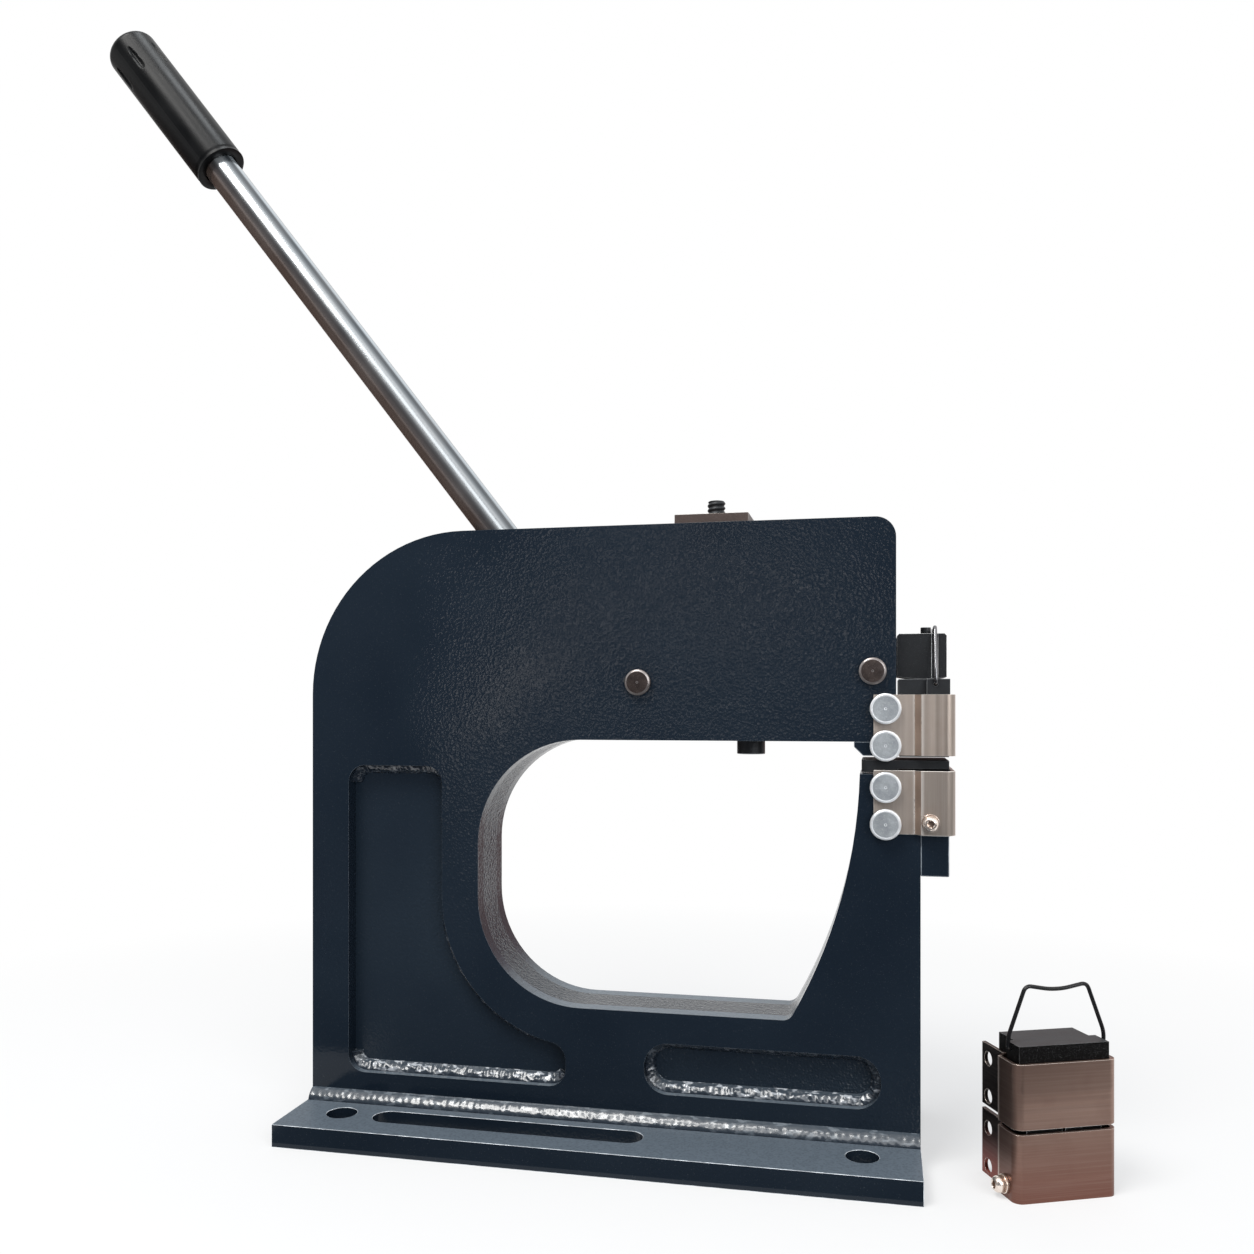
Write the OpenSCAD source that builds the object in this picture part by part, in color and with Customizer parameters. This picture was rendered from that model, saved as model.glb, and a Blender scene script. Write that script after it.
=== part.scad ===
// Bench shrinker and stretcher for sheet metal: a welded C-frame, a long hand lever
// whose cam lifts a rocker, and a pair of jaws with sliding wedge-backed dies.
// A second jaw set stands beside the frame. All sizes are in millimetres.
// +X points from the rear column to the jaws, +Z is up, and the origin is the
// centre of the base plate's underside. Distances named "back" or "out" are taken
// from the front end of the arm, where the jaws are fastened.

/* [Base plate] */
// Thickness of the base plate
base_t = 16; // [10:1:25]
// How far the base plate stands out on each side of the frame
base_overhang = 60; // [48:1:90]
// Diameter of the four bench bolt holes
bench_hole_d = 22; // [10:1:26]
// Distance of a bench hole from the end of the base plate
bench_hole_end = 38; // [28:1:46]
// Distance of the hole line from the side of the frame
bench_hole_out = 28; // [24:1:32]
// Distance of the long slot from the rear end of the base plate
slot_end = 63; // [60:1:90]
// Length of the long slot
slot_l = 198; // [80:1:230]
// Width of the long slot
slot_w = 22; // [8:1:26]
// Leg of the weld bead along the foot of the frame
base_weld_leg = 8; // [4:1:12]

/* [Frame] */
// Length of the arm from the rear edge of the frame to its front end
arm_l = 430; // [415:1:480]
// How far the foot of the upright stands out past the end of the arm
toe_l = 16; // [12:1:18]
// Height of the sill between the base plate and the throat
sill_h = 78.5; // [74:0.5:110]
// Clear height of the throat
throat_h = 192.5; // [180:0.5:230]
// Height of the arm
arm_h = 153; // [145:1:190]
// Thickness of each outer side plate
plate_t = 12; // [8:1:16]
// Thickness of the core plate, which is also the width of the channel in the arm
core_t = 30; // [30:1:36]
// Width of the rear column
column_w = 132; // [120:1:145]
// Radius of the large rear top corner
rear_corner_r = 120; // [60:1:130]
// Radius of the small front top corner
front_corner_r = 14; // [4:1:25]
// Radius of the two rear corners of the throat
throat_r = 77; // [50:1:85]
// Radius of the curved inner edge of the upright
upright_curve_r = 365; // [340:1:420]
// Width of the upright at its top
upright_top_w = 24; // [20:1:26]
// Radius between the throat floor and the upright
upright_foot_r = 8; // [4:1:15]

/* [Windows] */
// Width of the band of side plate left round the windows on the rear edge
window_edge = 29.5; // [22:0.5:36]
// Width of the band of side plate left between the rear window and the throat
window_band = 28; // [22:1:34]
// Height of the lower edge of both windows above the base plate
window_foot = 21; // [16:1:26]
// Distance of the top of the rear window below the roof of the throat
window_drop = 20; // [10:1:60]
// Length of the foot of the rear window
rear_window_l = 169; // [150:1:172]
// Corner radius of the rear window
rear_window_r = 13; // [6:1:14]
// Length of the front window
front_window_l = 164; // [80:1:175]
// Height of the front window
front_window_h = 36; // [26:1:38]
// Distance of the front window from the front edge of the upright
front_window_end = 26; // [20:1:40]
// Leg of the weld beads inside the windows
window_weld_leg = 7; // [4:1:9]

/* [Lever] */
// Distance of the lever pivot back from the front end of the arm
lever_back = 178; // [176:1:182]
// Height of the lever pivot above the roof of the throat
lever_up = 41; // [40:1:44]
// Diameter of both pivot pins
pin_d = 16; // [12:1:16]
// Diameter of the heads of both pivot pins
pin_head_d = 18.5; // [17.5:0.5:22]
// Height of the heads of both pivot pins
pin_head_h = 5; // [3:0.5:8]
// Angle of the handle above the horizontal at rest, leaning back
handle_lean = 52; // [50:0.2:54]
// Distance between the handle's axis and the lever pivot
handle_offset = 19; // [17:0.5:20]
// Length of the handle from beside the lever pivot to the end of the grip
handle_l = 671; // [450:1:750]
// Diameter of the handle rod
rod_d = 26; // [20:0.5:27]
// Diameter of the grip
grip_d = 40; // [32:0.5:44]
// Length of the grip
grip_l = 134; // [100:1:160]
// Swing of the handle from rest to the end of the stroke, in degrees
handle_turn = 46; // [36:1:46]

/* [Rocker] */
// Distance of the rocker pivot back from the front end of the arm
rocker_back = 15.5; // [15:0.5:18]
// Height of the rocker pivot above the roof of the throat
rocker_up = 48; // [47:0.5:50]
// Turn of the rocker over the full stroke, in degrees
rocker_turn = 5.5; // [3:0.1:5.5]
// Diameter of the cam roller
roller_d = 24; // [20:1:26]
// Width of the cam roller
roller_w = 15; // [10:1:18]
// Distance of the roller's axis in front of the lever pivot at rest
roller_out = 34; // [32:0.5:36]
// Height of the roller's axis above the lever pivot at rest
roller_up = 24; // [22:0.5:26]
// Height of the rocker's eye round its pivot
rocker_eye_d = 29; // [26:0.5:29]
// Width of the ram head on the nose of the rocker
ram_w = 38; // [30:1:40]
// Height of the ram head
ram_h = 30.8; // [28:0.2:31]
// Radius of the crowned lower face of the ram head
ram_crown_r = 100; // [80:5:140]

/* [Return spring] */
// Distance of the spring stud back from the front end of the arm
stud_back = 126; // [122:1:128]
// Diameter of the spring stud and the stop bolt
stud_d = 13; // [10:0.5:13]
// Height of the stud above the bar that it is screwed through
stud_proud = 13; // [3:0.5:18]
// Length of the bar across the slot of the arm
bar_l = 52; // [44:1:60]
// Thickness of the bar across the slot of the arm
bar_t = 6; // [5:0.5:10]
// Outer diameter of the return spring
spring_d = 20; // [17:0.5:22]
// Diameter of the return spring's wire
spring_wire_d = 2.4; // [1.6:0.1:3]
// Number of turns of the return spring
spring_turns = 7; // [5:1:10]
// Distance of the stop bolt back from the front end of the arm
stop_back = 101; // [90:1:106]
// Diameter of the stop bolt's head
stop_head_d = 20; // [16:0.5:22]
// Height of the stop bolt's head
stop_head_h = 10; // [6:0.5:12]

/* [Jaw housings] */
// Outer width of a housing across its box
housing_w = 71; // [68:0.5:76]
// Thickness of the housing's sheet steel
sheet_t = 2.5; // [2:0.1:3]
// Outer radius of the housing's front corners
housing_r = 6; // [4:0.5:9]
// Height of the upper housing
upper_housing_h = 41; // [40:0.5:43]
// Height of the lower housing
lower_housing_h = 43; // [42:0.5:46]
// Open height between the two housings
housing_gap = 10; // [9.5:0.5:14]
// Distance that the flanges reach back along the frame
flange_l = 15; // [13:0.5:20]
// Height of the lower bolt above the lower edge of a housing
bolt_edge = 6.5; // [6:0.5:8]
// Distance between the two bolts of a housing
bolt_pitch = 25; // [23:0.5:27]
// Diameter of the housing bolts
bolt_d = 8; // [6:0.5:8]
// Diameter of the flat bolt heads
bolt_head_d = 22; // [16:0.5:23]
// Height of the flat bolt heads
bolt_head_h = 4.5; // [2.5:0.5:7]

/* [Dies and wedges] */
// Thickness of the wedge blocks along X
wedge_l = 33.4; // [30:0.2:33.4]
// Height of the upper wedge block above its housing
wedge_proud = 10.5; // [8:0.5:11]
// Half the width of the pocket between the legs of a wedge block, at the die faces
pocket_half_w = 24; // [20:0.5:24]
// Angle of the pocket's walls from the vertical, in degrees
wedge_angle = 20.9; // [12:0.1:24]
// Height of a die
die_h = 21; // [18:0.5:22]
// Gap between the two dies of a pair at rest
die_split = 2; // [1.5:0.1:4]
// Opening between the upper and the lower dies at rest
die_opening = 2.4; // [2.2:0.1:3.4]
// How far the upper dies stand out of their housing
upper_die_proud = 1.1; // [0.8:0.1:1.6]
// How far the rear ends of the lower dies reach back over the upright
die_tail_l = 23; // [12:1:24]
// Slide of an upper die along its wedge over the full stroke
upper_die_slide = 1.3; // [0.5:0.1:1.3]
// Slide of a lower die along its wedge over the full stroke
lower_die_slide = 1; // [0.5:0.1:1]
// Thickness of the rubber pad behind each die
pad_t = 3; // [2.2:0.1:3.4]
// Diameter of the rubber pads
pad_d = 8; // [5:0.5:9]
// Diameter of the pins that keep the dies in their wedge blocks
die_pin_d = 4; // [3:0.5:5]

/* [Bail] */
// Diameter of the bail's wire
bail_wire_d = 2.6; // [1.6:0.1:2.8]
// Height of the bail's shoulders above its eyes
bail_h = 39.5; // [38:0.5:50]
// Half the width of the bail at its shoulders
bail_shoulder = 21.5; // [20:0.5:30]
// Depth of the dip in the middle of the bail
bail_dip = 3; // [0:0.5:3.5]

/* [Second jaw set] */
// Distance of the second set's near corner in front of the frame, along X
spare_x = 56; // [40:1:120]
// Distance of the second set's near corner from the middle plane of the frame
spare_y = 72; // [40:1:140]
// Turn of the second set about the vertical, in degrees
spare_turn = 23.6; // [0:0.2:60]
// Open height between the two housings of the second set
spare_gap = 3; // [2.4:0.2:5]

/* [Hidden] */
// Clearances and small details
seat = 0.3; // gap between surfaces that meet across two bodies
slip = 0.05; // radial running clearance of a pin
press = 0.02; // radial clearance of a bush or tenon that is fitted tight
bolt_play = 0.4; // play of a bolt in its hole, on the diameter
side_play = 1; // side clearance of the rocker and the lever in the channel
guide_play = 0.4; // clearance of the wedge blocks against their guides
round_fn = 48; // segments of ordinary round surfaces
curve_fn = 180; // segments of large curves
over = 1; // how far a cut runs past the surface that it opens
pin_chamfer = 1.5;
edge_chamfer = 1.5;

// Main planes and points of the frame
frame_l = arm_l + toe_l;
rear_x = -frame_l / 2;
toe_x = frame_l / 2;
arm_x = rear_x + arm_l;
frame_w = core_t + 2 * plate_t;
half_w = frame_w / 2;
base_w = frame_w + 2 * base_overhang;
sill_z = base_t + sill_h;
roof_z = sill_z + throat_h;
top_z = roof_z + arm_h;
throat_x = rear_x + column_w;
corner_x = throat_x + throat_r;
corner_z = sill_z + throat_r;
upright_x = arm_x - upright_top_w;

// Jaw planes
nose_drop = 9.5; // how far the nose block reaches below the arm
upper_z = roof_z - nose_drop + 0.5; // lower edge of the upper housing
lower_top_z = upper_z - housing_gap; // upper edge of the lower housing
lower_z = lower_top_z - lower_housing_h; // lower edge of the lower housing
housing_lift = 0.5; // housings clear the block below them
ledge_z = lower_z - housing_lift; // top of the anvil block
upper_face_z = upper_z - upper_die_proud; // working face of the upper dies
lower_face_z = upper_face_z - die_opening; // working face of the lower dies
tail_gap = lower_die_slide + seat; // room below the tails of the lower dies
tail_t = 8.2; // thickness of the tails
upright_z = lower_face_z - tail_t - tail_gap; // top of the upright
anvil_h = 28; // height of the anvil block
anvil_tongue = 34; // length of the anvil block's tongue between the plates
ledge_back = 1; // the upper part of the upright ends this far in front of the arm
jaw_play = 1.6; // rear face of the wedge blocks, in front of the arm
wedge_x = arm_x + jaw_play;
wedge_end = wedge_x + wedge_l;
housing_play = 0.8; // clearance between a wedge block and the box's front wall
housing_end = wedge_end + housing_play + sheet_t;
flange_x = arm_x - flange_l;
bolt_back = 7;
bolt_x = arm_x - bolt_back;
joggle_x = arm_x + 12;
joggle_end = joggle_x + 4.2;
step_x = joggle_end + 3.8; // the wedge blocks widen here
wedge_half = housing_w / 2 - sheet_t - 1.7;
wedge_neck = half_w - 0.5;
contact_x = wedge_x + wedge_l / 2;
leg_gap_up = 2.6; // legs of the upper wedge end this far from the die faces
leg_gap_low = 7; // and those of the lower wedge this far
slope = tan(wedge_angle);
wall_play = 0.15;
pocket_h = die_h + pad_t;
die_pin_x = wedge_x + 24;
die_pin_up = 11; // height of a die pin from the die faces
die_pin_in = 14; // reach of a die pin towards the middle
head_wide = 26; // half width of the lower dies above their wedge
head_t = 5.6;

// Lever, cam and rocker
lever_x = arm_x - lever_back;
lever_z = roof_z + lever_up;
rocker_x = arm_x - rocker_back;
rocker_z = roof_z + rocker_up;
roller_x = lever_x + roller_out;
roller_z = lever_z + roller_up;
rocker_t = core_t - 2 * side_play;
hub_r = 24;
hub_t = rocker_t - 1.6;
hub_floor = 14; // height of the solid strip below the channel
channel_z = roof_z + hub_floor;
bush_wall = 2;
axis_dir = [-cos(handle_lean), sin(handle_lean)];
axis_side = [-sin(handle_lean), -cos(handle_lean)];
axis_foot = [lever_x, lever_z] + handle_offset * axis_side;
socket_l = 62;
socket_r = rocker_t / 2;
tenon_d = 16;
tenon_start = 26;
stop_wall = socket_r + seat; // the handle's socket rests against the core here
ram_back = 0.6;
ram_x = arm_x + ram_back;
ram_l = wedge_end - ram_x - 1.6;
wedge_top_z = upper_z + upper_housing_h + wedge_proud;
ram_z = wedge_top_z + seat;
ram_top_z = ram_z + ram_h;
tongue_w = 16;
tongue_z = ram_z + 8;
tongue_h = 14;
tongue_l = 24;
head_screw_x = arm_x + 20.3;
bail_x = wedge_x + 24;
bail_z = wedge_top_z - 3.6;
stud_x = arm_x - stud_back;
stop_x = arm_x - stop_back;
spring_seat_z = rocker_z + 33;
spring_top_z = top_z - 12;
stop_tip_z = rocker_z - 17 - seat;

// Second jaw set
spare_face_z = lower_housing_h + spare_gap / 2; // the dies of the second set meet here
spare_upper_z = lower_housing_h + spare_gap;
spare_near = [toe_x + spare_x, -spare_y];
spare_screw_x = joggle_end + 9;

$fn = round_fn;

paint = "#1f2a35";
bare_steel = "#7b706a";
black_oxide = "#26282a";
nickel = "#a9998a";
zinc = "#b9bec4";
chrome = "#c9ccd0";
grip_black = "#1b1c1e";
bronze = "#a8823f";
copper_tone = "#b98a6a";
rubber_black = "#151515";

// ---- Helpers ----

// Stands a profile drawn in X and Z up between two Y planes
module slab(y0, y1) {
  translate([0, y1, 0])
    rotate([90, 0, 0])
      linear_extrude(y1 - y0)
        children();
}

// A cylinder along Y between two Y planes
module rod_y(x, z, d, y0, y1) {
  translate([x, y1, z])
    rotate([90, 0, 0])
      cylinder(d = d, h = y1 - y0);
}

// A rectangle with round corners between two opposite corners
module round_rect(a, b, r) {
  translate([a[0] + r, a[1]]) square([b[0] - a[0] - 2 * r, b[1] - a[1]]);
  translate([a[0], a[1] + r]) square([b[0] - a[0], b[1] - a[1] - 2 * r]);
  for (x = [a[0] + r, b[0] - r])
    for (y = [a[1] + r, b[1] - r])
      translate([x, y]) circle(r = r);
}

// The piece of material outside a quarter circle, to cut a round corner
module corner_cut(r) {
  difference() {
    translate([0, 0]) square([r + over, r + over]);
    circle(r = r, $fn = curve_fn);
  }
}

// A closed tube through rings of points, with flat ends
module skin(rings) {
  n = len(rings[0]);
  m = len(rings);
  points = [for (ring = rings) for (p = ring) p];
  sides = [for (i = [0 : m - 2]) for (j = [0 : n - 1])
    let (a = i * n + j, b = i * n + (j + 1) % n, c = a + n, d = b + n)
    each [[a, b, d], [a, d, c]]];
  first = [for (j = [1 : n - 2]) [0, j + 1, j]];
  last = [for (j = [1 : n - 2]) [(m - 1) * n, (m - 1) * n + j, (m - 1) * n + j + 1]];
  polyhedron(points = points, faces = concat(sides, first, last), convexity = 8);
}

function unit(v) = v / norm(v);

function polar(c, r, a) = c + r * [cos(a), sin(a)];

// Points of a rounded corner about c, with both ends led a little past the lines it joins
function blend_points(c, r, from, to, n = 8) =
  let (lead = 0.35, ahead = 6, back = 8)
  concat(
    [polar(c, r + lead, from - ahead)],
    [for (i = [0 : n]) polar(c, r, from + back + (to - from - 2 * back) * i / n)],
    [polar(c, r + lead, to + ahead)]
  );

// ---- Frame ----

// Everything in front of the rear column that the throat leaves open
module throat_space() {
  curve_z = upright_z + 10;
  curve_x = upright_x - upright_curve_r;
  foot_z = sill_z + upright_foot_r;
  foot_x = curve_x + sqrt(pow(upright_curve_r - upright_foot_r, 2) - pow(foot_z - curve_z, 2));
  foot = blend_points([foot_x, foot_z], upright_foot_r, -90,
    atan2(foot_z - curve_z, foot_x - curve_x));
  foot_top = foot[len(foot) - 1];
  difference() {
    translate([throat_x, sill_z])
      square([frame_l, throat_h]);
    // rear corners
    translate([corner_x, corner_z]) rotate(180) corner_cut(throat_r);
    translate([corner_x, roof_z - throat_r]) rotate(90) corner_cut(throat_r);
    // upright with its curved inner edge
    difference() {
      translate([foot_x, sill_z - over])
        square([arm_x + ledge_back - foot_x, upright_z - sill_z + over]);
      translate([curve_x, curve_z]) circle(r = upright_curve_r, $fn = 720);
    }
    // fillet at the foot of the upright
    polygon(concat([[foot[0][0], sill_z - over]], foot,
      [[foot_top[0] + over, foot_top[1]], [foot_top[0] + over, sill_z - over]]));
    // toe of the upright below the jaws
    translate([arm_x, sill_z - over])
      square([toe_l, ledge_z - sill_z + over]);
  }
}

// Outline that the side plates and the core plate share
module frame_outline() {
  difference() {
    translate([rear_x, base_t])
      square([frame_l, top_z - base_t]);
    translate([rear_x + rear_corner_r, top_z - rear_corner_r])
      rotate(90) corner_cut(rear_corner_r);
    // front of the arm
    translate([arm_x, roof_z - over])
      square([toe_l + over, arm_h + 2 * over]);
    translate([arm_x - front_corner_r, top_z - front_corner_r])
      corner_cut(front_corner_r);
    throat_space();
  }
}

// Tall window in the rear column, its inner edge parallel to the throat
module rear_window_shape() {
  x0 = rear_x + window_edge;
  x1 = throat_x - window_band;
  x2 = x0 + rear_window_l;
  z0 = base_t + window_foot;
  r = rear_window_r;
  arc_r = throat_r + window_band;
  end_z = corner_z - sqrt(pow(arc_r + r, 2) - pow(x2 - r - corner_x, 2));
  tip = blend_points([x2 - r, end_z], r, 0, atan2(corner_z - end_z, corner_x - x2 + r));
  round_rect([x0, z0], [x1, roof_z - window_drop], r);
  difference() {
    round_rect([x0, z0], [x2, corner_z], r);
    translate([corner_x, corner_z]) circle(r = arc_r, $fn = curve_fn);
    polygon(concat(tip, [[x2 + over, tip[len(tip) - 1][1] + over], [x2 + over, end_z]]));
  }
}

// Long window with round ends in the sill
module front_window_shape() {
  x1 = toe_x - front_window_end;
  z0 = base_t + window_foot;
  round_rect([x1 - front_window_l, z0], [x1, z0 + front_window_h],
    front_window_h / 2 - 1);
}

// Bolt holes of both housings and the bores of both pins, along Y
module cross_bores(y0, y1) {
  for (z = [lower_z + bolt_edge, lower_z + bolt_edge + bolt_pitch])
    rod_y(bolt_x, z, bolt_d + bolt_play, y0, y1);
  rod_y(lever_x, lever_z, pin_d + 2 * press, y0, y1);
  rod_y(rocker_x, rocker_z, pin_d + 2 * press, y0, y1);
}

// Height and place of the notch that holds the nose block
notch_x = arm_x - 13.5;
notch_z = upper_z + upper_housing_h - 1.5;

// One outer side plate, between two Y planes
module side_plate(y0) {
  difference() {
    slab(y0, y0 + plate_t)
      difference() {
        frame_outline();
        rear_window_shape();
        front_window_shape();
        translate([notch_x, roof_z - over])
          square([arm_x - notch_x + over, notch_z - roof_z + over]);
      }
    cross_bores(y0 - over, y0 + plate_t + over);
    for (x = [-1, 1] * bar_l / 4)
      translate([stud_x + x, y0 + plate_t / 2, top_z - 14])
        cylinder(d = 4.2, h = 14 + over);
  }
}

module side_plate_front() {
  color(paint) side_plate(-half_w);
}

module side_plate_back() {
  color(paint) side_plate(core_t / 2);
}

// The channel in the arm for the lever and the rocker, with its sloping rear wall
module channel_shape() {
  wall = axis_foot + stop_wall * axis_side;
  low = wall + axis_dir * (channel_z - wall[1]) / axis_dir[1];
  high = wall + axis_dir * (top_z + over - wall[1]) / axis_dir[1];
  polygon([low, high, [arm_x + over, top_z + over], [arm_x + over, channel_z]]);
}

// Core plate between the side plates, with the web behind the windows
module core_plate() {
  nose_x = arm_x - nose_l;
  color(paint)
    difference() {
      slab(-core_t / 2, core_t / 2)
        difference() {
          frame_outline();
          channel_shape();
          translate([nose_x, roof_z - over])
            square([nose_l + over, arm_h]);
          translate([toe_x - anvil_tongue, ledge_z - anvil_h])
            square([anvil_tongue + over, anvil_h]);
          translate([toe_x - anvil_tongue, ledge_z - over])
            square([arm_x + ledge_back - toe_x + anvil_tongue, over]);
          translate([arm_x + ledge_back, ledge_z - over])
            square([toe_l, over * 2]);
        }
      cross_bores(-core_t / 2 - over, core_t / 2 + over);
      translate([stop_x, 0, roof_z - over])
        cylinder(d = stud_d + 2 * press, h = hub_floor + 2 * over);
    }
}

nose_l = 28; // length of the nose block along the arm

// Guide block under the end of the arm, which carries the upper housing
module nose_block() {
  x0 = arm_x - nose_l;
  x1 = wedge_x - guide_play;
  z0 = roof_z - nose_drop;
  slant = 6;
  gap = 0.2;
  color(paint)
    difference() {
      union() {
        slab(-core_t / 2, core_t / 2)
          polygon([[x0 + slant, z0], [x1, z0], [x1, notch_z - gap], [x0, notch_z - gap],
            [x0, z0 + slant]]);
        slab(-half_w, half_w)
          translate([notch_x + gap, z0])
            square([x1 - notch_x - gap, notch_z - gap - z0]);
        slab(-half_w, half_w)
          polygon([[x0 + slant, z0], [x1, z0], [x1, roof_z], [x0, roof_z], [x0, z0 + slant]]);
      }
      for (z = [upper_z + bolt_edge, upper_z + bolt_edge + bolt_pitch])
        rod_y(bolt_x, z, bolt_d + bolt_play, -half_w - over, half_w + over);
    }
}

// Block at the top of the upright's toe, on which the lower jaw stands
module anvil_block() {
  gap = 0.2;
  head_end = wedge_end - 0.4;
  color(paint)
    union() {
      slab(-core_t / 2, core_t / 2)
        translate([toe_x - anvil_tongue + gap, ledge_z - anvil_h + gap])
          square([head_end - toe_x + anvil_tongue - gap, anvil_h - gap]);
      slab(-half_w, half_w)
        translate([toe_x, ledge_z - anvil_h + gap])
          square([head_end - toe_x, anvil_h - gap]);
    }
}

module base_plate() {
  y_holes = half_w + bench_hole_out;
  color(paint)
    difference() {
      translate([rear_x, -base_w / 2, 0])
        cube([frame_l, base_w, base_t]);
      for (x = [rear_x + bench_hole_end, toe_x - bench_hole_end])
        for (y = [-1, 1] * y_holes)
          translate([x, y, -over])
            cylinder(d = bench_hole_d, h = base_t + 2 * over);
      for (y = [-1, 1] * y_holes)
        translate([0, y, -over])
          linear_extrude(base_t + 2 * over)
            round_rect([rear_x + slot_end, -slot_w / 2], [rear_x + slot_end + slot_l, slot_w / 2],
              slot_w / 2 - 0.01);
    }
}

// Profile of a fillet weld with a hollow face, its legs along +X and +Y
module weld_profile(leg) {
  difference() {
    polygon([[0, 0], [leg, 0], [leg * 0.42, leg * 0.42], [0, leg]]);
    square(0.01);
  }
}

module base_welds() {
  color(paint)
    for (s = [-1, 1])
      translate([s < 0 ? toe_x : rear_x, s * half_w, base_t])
        rotate([90, 0, s < 0 ? -90 : 90])
          linear_extrude(frame_l)
            weld_profile(base_weld_leg);
}

// One straight bead in a window, its leg rising along up (1 or -1) from the height z
module window_bead(x0, x1, z, up) {
  for (s = [-1, 1])
    translate([up * s > 0 ? x0 : x1, s * core_t / 2, z])
      rotate([90 * up, 0, 90 * s])
        linear_extrude(x1 - x0)
          weld_profile(window_weld_leg);
}

// A bead round a centre in X and Z, from one angle to another: inside a corner of the
// given radius, or outside it where bulge is true
module round_bead(x, z, r, from, to, bulge = false) {
  for (s = [0, 1])
    mirror([0, s, 0])
      translate([x, -core_t / 2, z])
        rotate([90, 0, 0])
          rotate([0, 0, from])
            rotate_extrude(angle = to - from)
              translate([r, 0])
                mirror([bulge ? 0 : 1, 0])
                  weld_profile(window_weld_leg);
}

module window_welds() {
  z0 = base_t + window_foot;
  r = rear_window_r;
  x0 = rear_x + window_edge;
  x1 = throat_x - window_band;
  x2 = x0 + rear_window_l;
  z1 = roof_z - window_drop;
  front_r = front_window_h / 2 - 1;
  front_x1 = toe_x - front_window_end;
  front_x0 = front_x1 - front_window_l;
  color(paint) {
    window_bead(x0 + r, x2 - r, z0, 1);
    window_bead(x0 + r, x1 - r, z1, -1);
    round_bead(x0 + r, z0 + r, r, 180, 270);
    round_bead(x2 - r, z0 + r, r, 270, 330);
    round_bead(x0 + r, z1 - r, r, 90, 180);
    round_bead(x1 - r, z1 - r, r, 0, 90);
    round_bead(corner_x, corner_z, throat_r + window_band, 190, 250, true);
    window_bead(front_x0 + front_r, front_x1 - front_r, z0, 1);
    window_bead(front_x0 + front_r, front_x1 - front_r, z0 + front_window_h, -1);
    for (z = [z0 + front_r, z0 + front_window_h - front_r]) {
      top = z > z0 + front_r;
      round_bead(front_x0 + front_r, z, front_r, top ? 90 : 180, top ? 180 : 270);
      round_bead(front_x1 - front_r, z, front_r, top ? 0 : 270, top ? 90 : 360);
    }
  }
}

// ---- Pivot pins ----

ring_gap = 0.3; // gap between the side plate and a retaining ring
ring_t = 1.6;
ring_groove = 1;

// A headed pin across the frame, with a groove for its ring at the back
module pivot_pin(x, z) {
  tail = ring_gap + ring_t + 3;
  groove_y = half_w + ring_gap;
  color(bare_steel)
    translate([x, -half_w, z])
      rotate([-90, 0, 0])
        rotate_extrude()
          polygon([
            [0, -pin_head_h],
            [pin_head_d / 2 - pin_chamfer, -pin_head_h],
            [pin_head_d / 2, -pin_head_h + pin_chamfer],
            [pin_head_d / 2, 0],
            [pin_d / 2, 0],
            [pin_d / 2, groove_y + half_w - 0.05],
            [pin_d / 2 - ring_groove, groove_y + half_w - 0.05],
            [pin_d / 2 - ring_groove, groove_y + half_w + ring_t + 0.05],
            [pin_d / 2, groove_y + half_w + ring_t + 0.05],
            [pin_d / 2, frame_w + tail - pin_chamfer],
            [pin_d / 2 - pin_chamfer, frame_w + tail],
            [0, frame_w + tail]
          ]);
}

module lever_pin() {
  pivot_pin(lever_x, lever_z);
}

module rocker_pin() {
  pivot_pin(rocker_x, rocker_z);
}

// Open rings in the grooves of both pins
module retaining_rings() {
  color(black_oxide)
    for (p = [[lever_x, lever_z], [rocker_x, rocker_z]])
      slab(half_w + ring_gap, half_w + ring_gap + ring_t)
        translate(p)
          difference() {
            circle(d = pin_d + 7);
            circle(d = pin_d - 2 * ring_groove + 0.1);
            translate([0, -pin_d / 2]) square([5, pin_d], center = true);
          }
}

// ---- Spring bar, return spring and stop ----

module spring_bar() {
  color(bare_steel)
    difference() {
      translate([stud_x - bar_l / 2, -half_w, top_z])
        cube([bar_l, frame_w, bar_t]);
      translate([stud_x, 0, top_z - over])
        cylinder(d = stud_d + 2 * press, h = bar_t + 2 * over);
      bar_screw_places()
        translate([0, 0, bar_t]) {
          translate([0, 0, -3])
            cylinder(d1 = 5.4, d2 = 11.4, h = 3);
          translate([0, 0, -bar_t - over])
            cylinder(d = 5.4, h = bar_t + over);
        }
    }
}

// Places of the four countersunk screws that hold the bar, at the top of the plates
module bar_screw_places() {
  for (x = [-1, 1] * bar_l / 4)
    for (y = [-1, 1] * (half_w - plate_t / 2))
      translate([stud_x + x, y, top_z])
        children();
}

module bar_screws() {
  color(black_oxide)
    bar_screw_places() {
      translate([0, 0, bar_t - 2.9]) cylinder(d1 = 5, d2 = 10.4, h = 2.7);
      translate([0, 0, 0]) cylinder(d = 5, h = bar_t - 2.8);
      translate([0, 0, -12]) cylinder(d = 4.1, h = 12);
    }
}

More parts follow.
